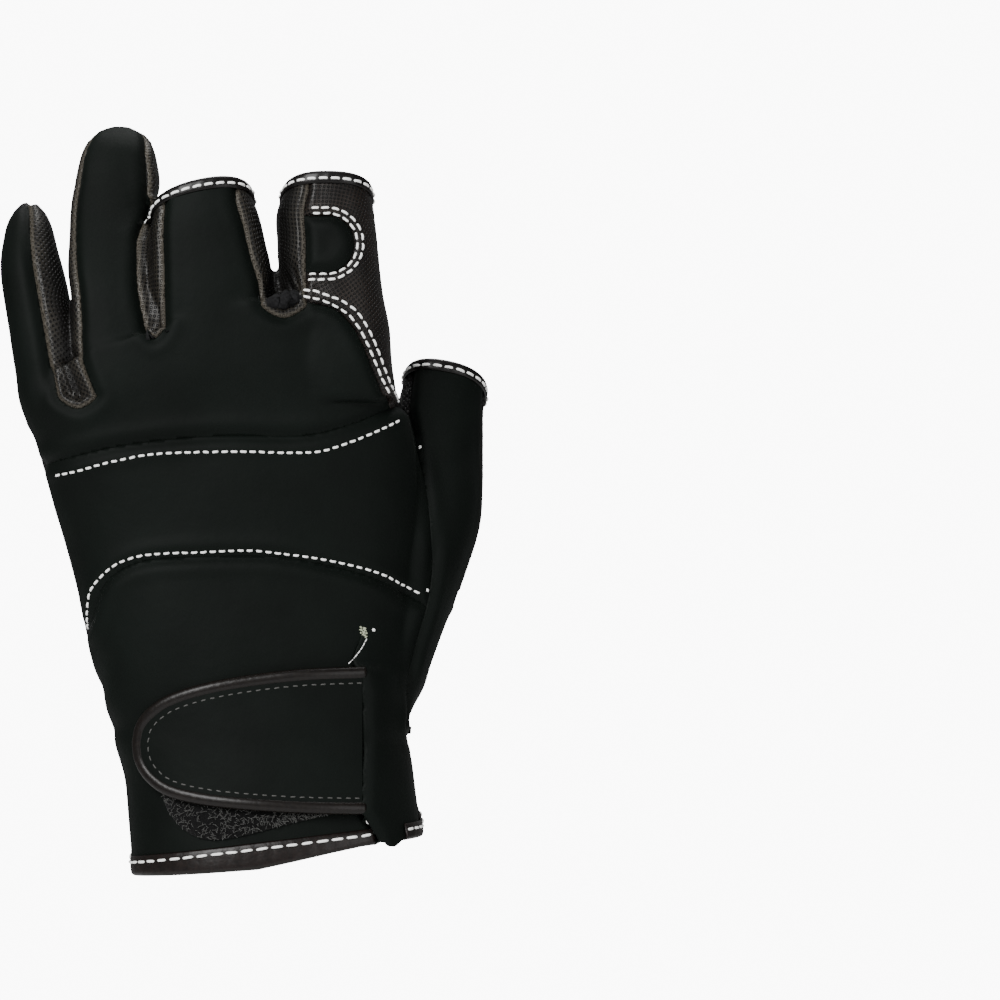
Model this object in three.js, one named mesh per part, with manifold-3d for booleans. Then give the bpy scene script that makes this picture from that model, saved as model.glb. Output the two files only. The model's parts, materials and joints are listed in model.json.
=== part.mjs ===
// A left-hand fishing glove in neoprene and punched synthetic leather, as it stands when worn.
// Pinky and ring finger are closed, middle finger, index finger and thumb are cut short and bound.
// Millimetres. +Z runs up the fingers, +X points to the thumb, and the back of the hand faces -Y.
// The origin is the middle of the wrist opening.

import * as THREE from 'three'
import { mergeVertices } from 'three/addons/utils/BufferGeometryUtils.js'
import Module from 'manifold-3d'

const wasm = await Module()
wasm.setup()

// Driving sizes
const wall = 2.0 // neoprene or leather with its lining
const seamGap = 0.3 // between two pieces that are sewn edge to edge
const palmLength = 131 // wrist opening to the webs of the fingers
const cuffWidth = 76.5
const cuffDepth = 50
const wristWidth = 76.5
const wristDepth = 43
const palmDepth = 33.5
const fingerGap = 0.6 // clear width between two neighbouring fingers above the web
const knuckleShift = 30 // centre line to the index side of the knuckles
const thumbInset = 7.5 // from the index side of the knuckles in to the middle of the thumb's root
const gatherDepth = 0.9 // ripples of the elastic on the palm side of the wrist
const gatherCount = 12
const bindingThick = 0.8
const bindingGap = 0.3
const cuffBindingHeight = 5.6
const fingerBindingHeight = 3.4
const windowHeight = 15.5 // D-shaped window on the index finger
const windowReach = 13.5
const windowDrop = 6.5 // from the index opening down to the window
const bandHeight = 29.5 // knuckle band, seam to seam on its middle line
const bandMiddle = 89 // height of the middle of the band
const strapThick = 2.2
const patchThick = 1.2
const tabLength = 60
const tabHeight = 39
const tabMiddle = 25 // height of the strap above the origin
const slitAcross = 22.4 // wrist slit under the strap, measured from the centre line
const slitTop = 54.5
const slitWidth = 0.8
const slitBend = 1.8 // how far the slit leans back to the pinky where it comes out above the strap
const slitShift = 7.3 // how far it leans to the thumb at the hem
const slitFoot = 10 // height over which it does so
const strapEndAcross = 22.3 // where the tab meets the turned edge of the flap
const foldWidth = 5.4 // turned edge of the flap beside the slit
const flapCorner = 34 // where the hem's binding begins again beyond the flap's bare corner
const seamRise = 3 // height of the rounded lower end of a gusset

// A finger has its own length, width and depth, and its hidden root inside the palm at a share of palmLength
const fingers = {
  pinky: { length: 66.7, width: 17.8, depth: 17, root: 0.786, closed: true },
  ring: { length: 74, width: 22.4, depth: 19.6, root: 0.8885, closed: true },
  middle: { length: 50.7, width: 31.4, depth: 22, root: 0.908, closed: false },
  index: { length: 56.2, width: 28.6, depth: 22, root: 0.8885, closed: false },
  thumb: { length: 96.7, width: 27, depth: 33, root: 0.188, closed: false },
}
for (const finger of Object.values(fingers)) finger.foot = finger.root * palmLength

// Fingers stand side by side at the web, counted from the index side of the hand
fingers.index.across = knuckleShift - fingers.index.width / 2
fingers.middle.across = fingers.index.across - (fingers.index.width + fingers.middle.width) / 2 - fingerGap
fingers.ring.across = fingers.middle.across - (fingers.middle.width + fingers.ring.width) / 2 - fingerGap
fingers.pinky.across = fingers.ring.across - (fingers.ring.width + fingers.pinky.width) / 2 - fingerGap
fingers.thumb.across = knuckleShift - thumbInset
const palmWidth = knuckleShift - fingers.pinky.across + fingers.pinky.width / 2

// Sections of each finger from root to tip. along, side and back are shares of the length,
// wide and deep are shares of the width and depth, and a section plane is turned by tilt and roll degrees
fingers.pinky.sections = [
  { along: 0.0, side: 0.132, back: 0.008, wide: 0.88, deep: 0.88 },
  { along: 0.18, side: 0.065, back: 0.008, wide: 1.03, deep: 1.0 },
  { along: 0.3, side: 0.034, back: 0.02, wide: 1.0, deep: 1.0 },
  { along: 0.43, side: 0.01, back: 0.037, wide: 1.0, deep: 1.0 },
  { along: 0.67, side: -0.033, back: 0.09, wide: 0.915, deep: 0.98 },
  { along: 0.79, side: -0.051, back: 0.135, wide: 0.8, deep: 0.93 },
  { along: 0.9, side: -0.058, back: 0.185, wide: 0.62, deep: 0.74 },
  { along: 0.965, side: -0.059, back: 0.215, wide: 0.38, deep: 0.46 },
  { along: 1.0, side: -0.063, back: 0.23, wide: 0.12, deep: 0.15 },
]
fingers.ring.sections = [
  { along: 0.0, side: 0.027, back: -0.04, wide: 0.75, deep: 0.9 },
  { along: 0.15, side: 0.004, back: -0.035, wide: 1.02, deep: 1.0 },
  { along: 0.26, side: 0.0, back: -0.02, wide: 1.04, deep: 1.0 },
  { along: 0.37, side: -0.015, back: 0.005, wide: 0.98, deep: 1.0 },
  { along: 0.48, side: -0.026, back: 0.045, wide: 0.99, deep: 1.0 },
  { along: 0.67, side: -0.024, back: 0.155, wide: 0.985, deep: 0.97 },
  { along: 0.78, side: -0.006, back: 0.21, wide: 1.03, deep: 0.95 },
  { along: 0.87, side: -0.005, back: 0.24, wide: 0.95, deep: 0.88 },
  { along: 0.925, side: -0.004, back: 0.257, wide: 0.83, deep: 0.77 },
  { along: 0.97, side: -0.003, back: 0.275, wide: 0.61, deep: 0.54 },
  { along: 1.0, side: 0.0, back: 0.285, wide: 0.22, deep: 0.18 },
]
fingers.middle.sections = [
  { along: 0.0, side: -0.01, back: -0.05, wide: 0.88, deep: 1.1, tilt: 0, roll: 0 },
  { along: 0.24, side: -0.02, back: -0.06, wide: 1.09, deep: 1.08, tilt: 0, roll: 0 },
  { along: 0.41, side: -0.032, back: -0.065, wide: 1.1, deep: 1.0, tilt: -6, roll: 0 },
  { along: 0.56, side: -0.038, back: -0.05, wide: 1.08, deep: 1.0, tilt: -12, roll: 3 },
  { along: 0.72, side: -0.065, back: -0.03, wide: 0.998, deep: 0.98, tilt: -18, roll: 6 },
  { along: 0.86, side: -0.083, back: -0.005, wide: 0.935, deep: 0.96, tilt: -24, roll: 9 },
  { along: 1.0, side: -0.1, back: 0.025, wide: 0.83, deep: 0.92, tilt: -28, roll: 11 },
]
fingers.index.sections = [
  { along: 0.0, side: 0.053, back: -0.04, wide: 0.98, deep: 1.1, tilt: 0, roll: 0 },
  { along: 0.19, side: 0.01, back: -0.045, wide: 1.03, deep: 1.08, tilt: 0, roll: 0 },
  { along: 0.34, side: 0.0, back: -0.045, wide: 1.03, deep: 1.0, tilt: -4, roll: 0 },
  { along: 0.48, side: -0.01, back: -0.03, wide: 0.967, deep: 1.0, tilt: -8, roll: 1 },
  { along: 0.63, side: -0.022, back: -0.01, wide: 0.934, deep: 0.98, tilt: -13, roll: 1 },
  { along: 0.77, side: -0.026, back: 0.015, wide: 0.915, deep: 0.96, tilt: -18, roll: 2 },
  { along: 0.89, side: -0.034, back: 0.035, wide: 0.905, deep: 0.95, tilt: -23, roll: 1 },
  { along: 1.0, side: -0.022, back: 0.055, wide: 0.8, deep: 0.91, tilt: -26, roll: 0 },
]
fingers.thumb.sections = [
  { along: 0.0, side: 0.0, back: 0.05, wide: 0.88, deep: 0.7, tilt: 0, roll: 0 },
  { along: 0.14, side: 0.036, back: 0.08, wide: 1.0, deep: 0.93, tilt: 0, roll: 0 },
  { along: 0.31, side: 0.098, back: 0.115, wide: 1.01, deep: 1.0, tilt: 0, roll: 0 },
  { along: 0.475, side: 0.152, back: 0.15, wide: 0.99, deep: 0.98, tilt: -5, roll: -3 },
  { along: 0.64, side: 0.202, back: 0.195, wide: 0.965, deep: 0.9, tilt: -11, roll: -6 },
  { along: 0.81, side: 0.218, back: 0.25, wide: 0.885, deep: 0.8, tilt: -18, roll: -10 },
  { along: 0.92, side: 0.228, back: 0.288, wide: 0.835, deep: 0.74, tilt: -23, roll: -13 },
  { along: 1.0, side: 0.24, back: 0.315, wide: 0.78, deep: 0.69, tilt: -26, roll: -14 },
]

// Sections of the palm. up is a share of the palm length, aside and back of its width and depth,
// wide and deep count from 0, the cuff, over 1, the wrist, to 2, the knuckles, and rise is how steeply,
// in degrees, the palm side of a section climbs away from its back
const palmSections = [
  { up: -0.043, aside: 0.004, back: 0.0, wide: 0.0, deep: 0.0, tilt: 0, roll: 7, rise: 27, gather: 0 },
  { up: 0.05, aside: -0.009, back: 0.0, wide: 0.6, deep: 0.5, tilt: 0, roll: 5, rise: 20, gather: 0.3 },
  { up: 0.12, aside: -0.019, back: 0.0, wide: 0.95, deep: 0.85, tilt: 0, roll: 2, rise: 12, gather: 1 },
  { up: 0.18, aside: -0.039, back: 0.02, wide: 1.03, deep: 1.0, tilt: 0, roll: 0, rise: 5, gather: 1 },
  { up: 0.215, aside: -0.034, back: 0.03, wide: 1.08, deep: 0.95, tilt: 0, roll: 0, rise: 0, gather: 0.6 },
  { up: 0.27, aside: -0.05, back: 0.05, wide: 1.17, deep: 0.9, tilt: 0, roll: 0, rise: 0, gather: 0.2 },
  { up: 0.373, aside: -0.066, back: 0.07, wide: 1.35, deep: 0.95, tilt: 0, roll: 0, rise: 0, gather: 0 },
  { up: 0.579, aside: -0.091, back: 0.08, wide: 1.65, deep: 1.4, tilt: 0, roll: 2, rise: 0, gather: 0 },
  { up: 0.682, aside: -0.106, back: 0.06, wide: 1.785, deep: 1.65, tilt: 0, roll: 4, rise: 0, gather: 0 },
  { up: 0.785, aside: -0.122, back: 0.045, wide: 1.87, deep: 1.87, tilt: 0, roll: 6, rise: 0, gather: 0 },
  { up: 0.868, aside: -0.161, back: 0.045, wide: 1.73, deep: 2.0, tilt: 0, roll: 9, rise: 0, gather: 0 },
  { up: 0.94, aside: -0.181, back: 0.01, wide: 1.76, deep: 2.25, tilt: -10, roll: 13, rise: 0, gather: 0 },
  { up: 1.03, aside: -0.17, back: -0.08, wide: 1.5, deep: 3.1, tilt: -24, roll: 16, rise: 0, gather: 0 },
]

// The fold of cloth between thumb and palm, with shares of the thumb's length, width and depth
const webSections = [
  { along: 0.4, side: 0.11, back: 0.09, wide: 0.75, deep: 0.8 },
  { along: 0.58, side: 0.15, back: 0.11, wide: 0.72, deep: 0.72 },
  { along: 0.74, side: 0.165, back: 0.15, wide: 0.55, deep: 0.6 },
  { along: 0.84, side: 0.165, back: 0.175, wide: 0.34, deep: 0.4 },
]

const palmSides = 2 * gatherCount
const fingerSides = 12
const shortestEdge = 0.04 // corners closer than this are one
const squareness = 2.4 // 2 is an ellipse, more is boxier
const overrun = 12 // how far a cutter or a hollow runs past what it opens
const far = 130 // half the reach of a cutter
const degree = Math.PI / 180

// Lofts and rings

function rounded(value) {
  return Math.sign(value) * Math.abs(value) ** (2 / squareness)
}

// Points of one closed section, counter-clockwise seen from above, pushed out by offset
function ringOf(section, sides, offset = 0) {
  const points = []
  for (let i = 0; i < sides; i += 1) {
    const turn = (i / sides) * 2 * Math.PI
    const ripple = Math.sin(turn) > 0.1 ? section.ripple * (0.5 - 0.5 * Math.cos(turn * gatherCount)) : 0
    const x = (section.halfWidth + offset - ripple) * rounded(Math.cos(turn))
    const y = (section.halfDepth + offset - ripple) * rounded(Math.sin(turn))
    const climb = y * Math.tan(section.tilt * degree) + Math.max(y, 0) * Math.tan(section.rise * degree)
    const z = x * Math.tan(section.roll * degree) + climb
    points.push(new THREE.Vector3(section.x + x, section.y + y, section.z + z))
  }
  return points
}

function loft(rings) {
  const sides = rings[0].length
  const positions = rings.flat().flatMap((point) => point.toArray())
  const index = []
  const centre = (ring) => {
    const sum = new THREE.Vector3()
    for (const point of ring) sum.add(point)
    return sum.divideScalar(sides)
  }
  rings.slice(1).forEach((_, row) => {
    for (let i = 0; i < sides; i += 1) {
      const next = (i + 1) % sides
      const [a, b] = [row * sides + i, row * sides + next]
      index.push(a, b, b + sides, a, b + sides, a + sides)
    }
  })
  const bottom = positions.length / 3
  positions.push(...centre(rings[0]).toArray(), ...centre(rings.at(-1)).toArray())
  for (let i = 0; i < sides; i += 1) {
    const next = (i + 1) % sides
    const top = (rings.length - 1) * sides
    index.push(bottom, next, i, bottom + 1, top + i, top + next)
  }
  const geometry = new THREE.BufferGeometry()
  geometry.setAttribute('position', new THREE.Float32BufferAttribute(positions, 3))
  geometry.setIndex(index)
  return solidOf(geometry)
}

// From geometry to solid and back

function solidOf(geometry, weld = 1e-4) {
  const bare = geometry.clone()
  bare.deleteAttribute('normal')
  bare.deleteAttribute('uv')
  const merged = mergeVertices(bare, weld)
  const corners = [...merged.index.array]
  const whole = corners.filter((_, k) => {
    const [a, b, c] = corners.slice(k - (k % 3), k - (k % 3) + 3)
    return a !== b && b !== c && c !== a
  })
  return new wasm.Manifold(
    new wasm.Mesh({
      numProp: 3,
      vertProperties: new Float32Array(merged.attributes.position.array),
      triVerts: new Uint32Array(whole),
    }),
  )
}

function geometryOf(solid) {
  const mesh = solid.getMesh()
  const geometry = new THREE.BufferGeometry()
  geometry.setAttribute('position', new THREE.BufferAttribute(new Float32Array(mesh.vertProperties), 3))
  geometry.setIndex(new THREE.BufferAttribute(new Uint32Array(mesh.triVerts), 1))
  const flat = geometry.toNonIndexed()
  flat.computeVertexNormals()
  return flat
}

// The largest body of a cut, which drops slivers that a seam leaves behind
function mainBody(solid) {
  const bodies = solidOf(geometryOf(solid), shortestEdge).decompose()
  return bodies.reduce((best, body) => (body.volume() > best.volume() ? body : best))
}

// Limbs

function fingerRows(finger, sections = finger.sections) {
  return sections.map((row) => ({
    x: finger.across + row.side * finger.length,
    y: row.back * finger.length,
    z: finger.foot + row.along * finger.length,
    halfWidth: (row.wide * finger.width) / 2,
    halfDepth: (row.deep * finger.depth) / 2,
    tilt: row.tilt ?? 0,
    roll: row.roll ?? 0,
    rise: 0,
    ripple: 0,
  }))
}

function between(stage, cuff, wrist, palm) {
  return stage < 1 ? cuff + (wrist - cuff) * stage : wrist + (palm - wrist) * (stage - 1)
}

const palmRows = palmSections.map((row) => ({
  x: row.aside * palmWidth,
  y: row.back * palmDepth,
  z: row.up * palmLength,
  halfWidth: between(row.wide, cuffWidth, wristWidth, palmWidth) / 2,
  halfDepth: between(row.deep, cuffDepth, wristDepth, palmDepth) / 2,
  tilt: row.tilt,
  roll: row.roll,
  rise: row.rise,
  ripple: row.gather * gatherDepth,
}))

// A copy of an end section, moved on along the limb, for hollows that open there
function runOn(row, beside, distance) {
  const step = distance / Math.abs(row.z - beside.z)
  return {
    ...row,
    x: row.x + (row.x - beside.x) * step,
    y: row.y + (row.y - beside.y) * step,
    z: row.z + (row.z - beside.z) * step,
  }
}

function limb(rows, sides, offset, openEnd) {
  const all = openEnd ? [...rows, runOn(rows.at(-1), rows.at(-2), overrun)] : rows
  return loft(all.map((row) => ringOf(row, sides, offset)))
}

// A closed fingertip keeps its wall: its hollow stops short and stays inside the last sections
function fingerHollow(finger) {
  const rows = fingerRows(finger)
  if (!finger.closed) return limb(rows, fingerSides, -wall, true)
  const inner = rows.slice(0, -1).map((row) => ({
    ...row,
    z: Math.min(row.z, finger.foot + finger.length - wall),
    halfWidth: Math.max(row.halfWidth - wall, 0.4),
    halfDepth: Math.max(row.halfDepth - wall, 0.4),
  }))
  return loft(inner.map((row) => ringOf(row, fingerSides)))
}

// Rows whose last one steps back with the wall, so that the hollow of a form leaves its top closed
function topped(rows, offset) {
  return rows.map((row) => (row === rows.at(-1) ? { ...row, z: row.z + offset } : row))
}

function palmForm(offset, openCuff) {
  const rows = topped(palmRows, offset)
  return limb(openCuff ? [runOn(palmRows[0], palmRows[1], overrun), ...rows] : rows, palmSides, offset, false)
}

function thumbForm(offset, openEnd) {
  return limb(fingerRows(fingers.thumb), fingerSides, offset, openEnd)
}

function webForm(offset) {
  return limb(topped(fingerRows(fingers.thumb, webSections), offset), fingerSides, offset, false)
}

function joined(solids) {
  return solids.reduce((sum, solid) => sum.add(solid))
}

const names = ['pinky', 'ring', 'middle', 'index']
const outside = joined([
  palmForm(0, false),
  thumbForm(0, false),
  webForm(0),
  ...names.map((name) => limb(fingerRows(fingers[name]), fingerSides, 0, false)),
])
const inside = joined([
  palmForm(-wall, true),
  thumbForm(-wall, true),
  webForm(-wall),
  ...names.map((name) => fingerHollow(fingers[name])),
])
const shell = outside.subtract(inside)

// Cutters

// A prism through the whole hand with this outline, given as [x, z] points seen from the back of the hand
function prism(outline) {
  const shape = new THREE.Shape(outline.map(([x, z]) => new THREE.Vector2(x, z)))
  const geometry = new THREE.ExtrudeGeometry(shape, { depth: 2 * far, bevelEnabled: false })
  geometry.translate(0, 0, -far)
  geometry.rotateX(Math.PI / 2)
  return solidOf(geometry)
}

// An outline moved outwards by a distance, or inwards by a negative one
function grown(outline, distance) {
  const area = outline.reduce((sum, [x, z], i) => {
    const [nextX, nextZ] = outline[(i + 1) % outline.length]
    return sum + x * nextZ - nextX * z
  }, 0)
  const side = Math.sign(area) * distance
  return outline.map(([x, z], i) => {
    const before = outline[(i - 1 + outline.length) % outline.length]
    const after = outline[(i + 1) % outline.length]
    const first = new THREE.Vector2(x - before[0], z - before[1]).normalize()
    const second = new THREE.Vector2(after[0] - x, after[1] - z).normalize()
    const normal = new THREE.Vector2(first.y + second.y, -first.x - second.x)
    const stretch = Math.max(normal.lengthSq() / 2, 0.4)
    return [x + (normal.x * side) / stretch, z + (normal.y * side) / stretch]
  })
}

// Where the front of the hand ends and its palm side begins: depths of the seam on the curled fingers,
// on the hand and on the thumb, as shares of palmDepth. The seam steps over between the ring and the
// middle finger at ringCross and beside the thumb at thumbCross, as shares of palmWidth
const sideSeam = [
  { up: -0.3, curled: 0.0, hand: 0.0, thumb: 0.2, ringCross: -0.3, thumbCross: 0.02 },
  { up: 0.2, curled: 0.03, hand: 0.03, thumb: 0.24, ringCross: -0.3, thumbCross: 0.05 },
  { up: 0.45, curled: 0.06, hand: 0.06, thumb: 0.36, ringCross: -0.3, thumbCross: 0.1 },
  { up: 0.65, curled: 0.05, hand: 0.05, thumb: 0.54, ringCross: -0.3, thumbCross: 0.16 },
  { up: 0.86, curled: 0.04, hand: 0.02, thumb: 0.76, ringCross: -0.3, thumbCross: 0.33 },
  { up: 1.02, curled: 0.08, hand: -0.04, thumb: 0.95, ringCross: -0.304, thumbCross: 0.345 },
  { up: 1.15, curled: 0.19, hand: -0.04, thumb: 1.0, ringCross: -0.315, thumbCross: 0.345 },
  { up: 1.3, curled: 0.42, hand: 0.06, thumb: 1.0, ringCross: -0.34, thumbCross: 0.345 },
  { up: 1.6, curled: 0.85, hand: 0.15, thumb: 1.0, ringCross: -0.36, thumbCross: 0.345 },
]
const halfOverlap = 0.05 // the two halves of a cutter run into each other
const crossOver = 2 // width over which the side seam steps back to the thumb
const ringOver = 0.4 // width of its step between the ring and the middle finger

function frontHalf(shift) {
  return loft(
    sideSeam.map((row) => {
      const z = row.up * palmLength
      const depths = [row.curled, row.hand, row.thumb]
      const [curled, hand, thumb] = depths.map((share) => share * palmDepth + shift)
      const thumbCross = row.thumbCross * palmWidth - shift
      const ringCross = row.ringCross * palmWidth + shift
      return [
        new THREE.Vector3(-far, -far, z),
        new THREE.Vector3(far, -far, z),
        new THREE.Vector3(far, thumb, z),
        new THREE.Vector3(thumbCross + crossOver, thumb, z),
        new THREE.Vector3(thumbCross, hand, z),
        new THREE.Vector3(ringCross + ringOver, hand, z),
        new THREE.Vector3(ringCross, curled, z),
        new THREE.Vector3(-far, curled, z),
      ]
    }),
  )
}

// A cutter with one outline on the front of the hand and another on its palm side
function twoSided(frontCutter, palmCutter) {
  const frontPart = frontCutter.intersect(frontHalf(halfOverlap))
  return frontPart.add(palmCutter.subtract(frontHalf(-halfOverlap)))
}

const front = frontHalf(-seamGap / 2)
const everywhere = prism([[-far, -far], [far, -far], [far, far * 2], [-far, far * 2]])
const rear = everywhere.subtract(frontHalf(seamGap / 2))

// Lines on the back of the hand. across and up are shares of palmWidth and palmLength

function shared(points) {
  return points.map(({ across, up }) => [across * palmWidth, up * palmLength])
}

// Rise of both band seams from the pinky side to the thumb side, as shares of the band's height
const bandTop = [
  { across: -0.75, rise: 0.2 },
  { across: -0.58, rise: 0.36 },
  { across: -0.38, rise: 0.52 },
  { across: -0.14, rise: 0.6 },
  { across: 0.08, rise: 0.6 },
  { across: 0.22, rise: 0.72 },
  { across: 0.34, rise: 0.9 },
  { across: 0.6, rise: 1.2 },
].map(({ across, rise }) => [across * palmWidth, bandMiddle + rise * bandHeight])
const bandBottom = [
  { across: -0.6, rise: -2.0 },
  { across: -0.49, rise: -1.1 },
  { across: -0.465, rise: -0.84 },
  { across: -0.42, rise: -0.66 },
  { across: -0.34, rise: -0.54 },
  { across: -0.2, rise: -0.5 },
  { across: 0.0, rise: -0.5 },
  { across: 0.14, rise: -0.58 },
  { across: 0.28, rise: -0.72 },
  { across: 0.4, rise: -0.95 },
  { across: 0.6, rise: -1.3 },
].map(({ across, rise }) => [across * palmWidth, bandMiddle + rise * bandHeight])

function above(line, shift) {
  const moved = line.map(([x, z]) => [x, z + shift])
  const [left, right] = [moved[0], moved.at(-1)]
  return prism([[left[0] - far, left[1]], ...moved, [far, right[1]], [far, far * 2], [-far * 2, far * 2]])
}

const thumbSeam = shared([
  { across: 0.345, up: 1.25 },
  { across: 0.345, up: 0.96 },
  { across: 0.345, up: 0.88 },
  { across: 0.372, up: 0.8 },
  { across: 0.4, up: 0.71 },
  { across: 0.415, up: 0.63 },
  { across: 0.42, up: 0.55 },
  { across: 0.408, up: 0.47 },
  { across: 0.38, up: 0.39 },
  { across: 0.355, up: 0.3 },
  { across: 0.345, up: 0.2 },
  { across: 0.36, up: 0.1 },
  { across: 0.385, up: 0.0 },
  { across: 0.4, up: -0.2 },
])
const thumbFront = [...thumbSeam, [far, thumbSeam.at(-1)[1]], [far, thumbSeam[0][1]]]
// Neoprene that turns round the thumb side of the wrist onto the palm side
const wristWrap = shared([
  { across: 0.17, up: -0.3 },
  { across: 0.17, up: 0.1 },
  { across: 0.155, up: 0.21 },
  { across: 0.34, up: 0.36 },
  { across: 0.5, up: 0.5 },
  { across: 1.2, up: 0.6 },
  { across: 1.2, up: -0.3 },
])
const thenar = shared([
  { across: 0.155, up: 0.21 },
  { across: 0.115, up: 0.32 },
  { across: 0.09, up: 0.42 },
  { across: 0.095, up: 0.53 },
  { across: 0.135, up: 0.62 },
  { across: 0.205, up: 0.68 },
  { across: 0.275, up: 0.72 },
  { across: 0.345, up: 0.8 },
  { across: 0.345, up: 1.2 },
  { across: 1.2, up: 1.2 },
  { across: 1.2, up: 0.6 },
  { across: 0.5, up: 0.5 },
  { across: 0.34, up: 0.36 },
])

// Gussets run up the facing sides of two fingers and meet at the web. An angle of -90 degrees is the
// back of a finger, 90 its palm side and 0 its thumb side. Their lower ends are shares of palmLength
const gussets = [
  { name: 'gusset_pinky_ring', left: 'pinky', right: 'ring',
    backAngles: [-85, -146], palmAngles: [50, 130], backEnd: 0.87, palmEnd: 0.84 },
  { name: 'gusset_ring_middle', left: 'ring', right: 'middle',
    backAngles: [-50, -137], palmAngles: [45, 138], backEnd: 1.015, palmEnd: 0.901 },
  { name: 'gusset_middle_index', left: 'middle', right: 'index',
    backAngles: [-42, -114], palmAngles: [42, 138], backEnd: 1.057, palmEnd: 0.908 },
]

// A section of a limb at any height, from the two rows beside it
function sectionAt(rows, z) {
  const found = rows.findLastIndex((row) => row.z <= z)
  const first = rows[Math.min(Math.max(found, 0), rows.length - 2)]
  const second = rows[rows.indexOf(first) + 1]
  const share = (z - first.z) / (second.z - first.z)
  const keys = ['x', 'y', 'z', 'halfWidth', 'halfDepth', 'tilt', 'roll', 'rise', 'ripple']
  return Object.fromEntries(
    keys.map((key) => [key, first[key] + (second[key] - first[key]) * share]),
  )
}

// A seam line up a finger at a given angle, as [x, z] points from an end height upwards
function seamOn(finger, angle, from) {
  const rows = fingerRows(finger)
  const across = (row) => row.x + row.halfWidth * rounded(Math.cos(angle * degree))
  const start = from + seamRise
  const above = rows.filter((row) => row.z > start + seamGap)
  const top = rows.at(-1)
  const line = [[across(sectionAt(rows, start)), start], ...above.map((row) => [across(row), row.z])]
  return finger.closed ? [...line, [top.x, top.z + overrun]] : [...line, [across(top), top.z + overrun * 2]]
}

function gussetOutline(gusset, angles, endShare) {
  const end = endShare * palmLength
  const left = seamOn(fingers[gusset.left], angles[0], end)
  const right = seamOn(fingers[gusset.right], angles[1], end)
  const middle = (left[0][0] + right[0][0]) / 2
  const turn = end + seamRise * 0.3
  return [...left.toReversed(), [(left[0][0] + middle) / 2, turn], [middle, end],
    [(right[0][0] + middle) / 2, turn], ...right]
}

function gussetCutter(gusset, growth) {
  const back = prism(grown(gussetOutline(gusset, gusset.backAngles, gusset.backEnd), growth))
  const palm = prism(grown(gussetOutline(gusset, gusset.palmAngles, gusset.palmEnd), growth))
  return twoSided(back, palm)
}

const gussetCuts = joined(gussets.map((gusset) => gussetCutter(gusset, seamGap / 2)))

// Punched leather that covers the back of the index finger, and its D-shaped window

const index = fingers.index
const indexTop = index.foot + index.length
const indexGusset = gussets.at(-1)
const indexEdge = seamOn(index, indexGusset.backAngles[1], indexGusset.backEnd * palmLength)
const leatherSweep = shared([
  { across: 0.08, up: 1.091 },
  { across: 0.16, up: 1.075 },
  { across: 0.2058, up: 1.042 },
  { across: 0.2382, up: 1.0 },
  { across: 0.27, up: 0.941 },
  { across: 0.3, up: 0.89 },
  { across: 0.345, up: 0.83 },
])
const indexLeather = [
  [indexEdge[0][0] - overrun, indexTop + overrun * 2],
  [indexEdge[0][0] - overrun, leatherSweep[0][1]],
  ...leatherSweep,
  [far, leatherSweep.at(-1)[1]],
  [far, indexTop + overrun * 2],
]
const indexSeam = rounded(Math.cos(indexGusset.backAngles[1] * degree))
const windowLeft = index.across + (index.width / 2) * indexSeam - seamGap
const windowMiddle = indexTop - windowDrop - windowHeight / 2
const windowOutline = [[windowLeft, windowMiddle - windowHeight / 2]]
for (let i = 0; i <= 10; i += 1) {
  const turn = -90 + i * 18
  const straight = windowReach - windowHeight / 2
  windowOutline.push([
    windowLeft + straight + (windowHeight / 2) * Math.cos(turn * degree),
    windowMiddle + (windowHeight / 2) * Math.sin(turn * degree),
  ])
}
windowOutline.push([windowLeft, windowMiddle + windowHeight / 2])

// Bindings: a folded strip with a U section round an open edge

function binding(rows, sides, height, direction) {
  const edge = direction > 0 ? rows.at(-1) : rows[0]
  const at = (depth) => sectionAt(rows, edge.z - direction * depth)
  const outer = bindingGap + bindingThick
  const profile = [
    [height, outer], [-outer, outer], [-outer, -wall - outer], [height, -wall - outer],
    [height, -wall - bindingGap], [-bindingGap, -wall - bindingGap],
    [-bindingGap, bindingGap], [height, bindingGap],
  ]
  const loops = profile.map(([depth, offset]) => ringOf(at(depth), sides, offset))
  const positions = loops.flat().flatMap((point) => point.toArray())
  const faces = []
  loops.forEach((_, k) => {
    const other = (k + 1) % loops.length
    for (let i = 0; i < sides; i += 1) {
      const j = (i + 1) % sides
      const [a, b] = [k * sides + i, k * sides + j]
      const [c, d] = [other * sides + j, other * sides + i]
      faces.push(...(direction > 0 ? [a, b, c, a, c, d] : [a, c, b, a, d, c]))
    }
  })
  const geometry = new THREE.BufferGeometry()
  geometry.setAttribute('position', new THREE.Float32BufferAttribute(positions, 3))
  geometry.setIndex(faces)
  return solidOf(geometry)
}

// Closing strap, its tab, binding and the loop patch under it

function layer(low, high) {
  return palmForm(high, true).subtract(palmForm(low, true))
}

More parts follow.
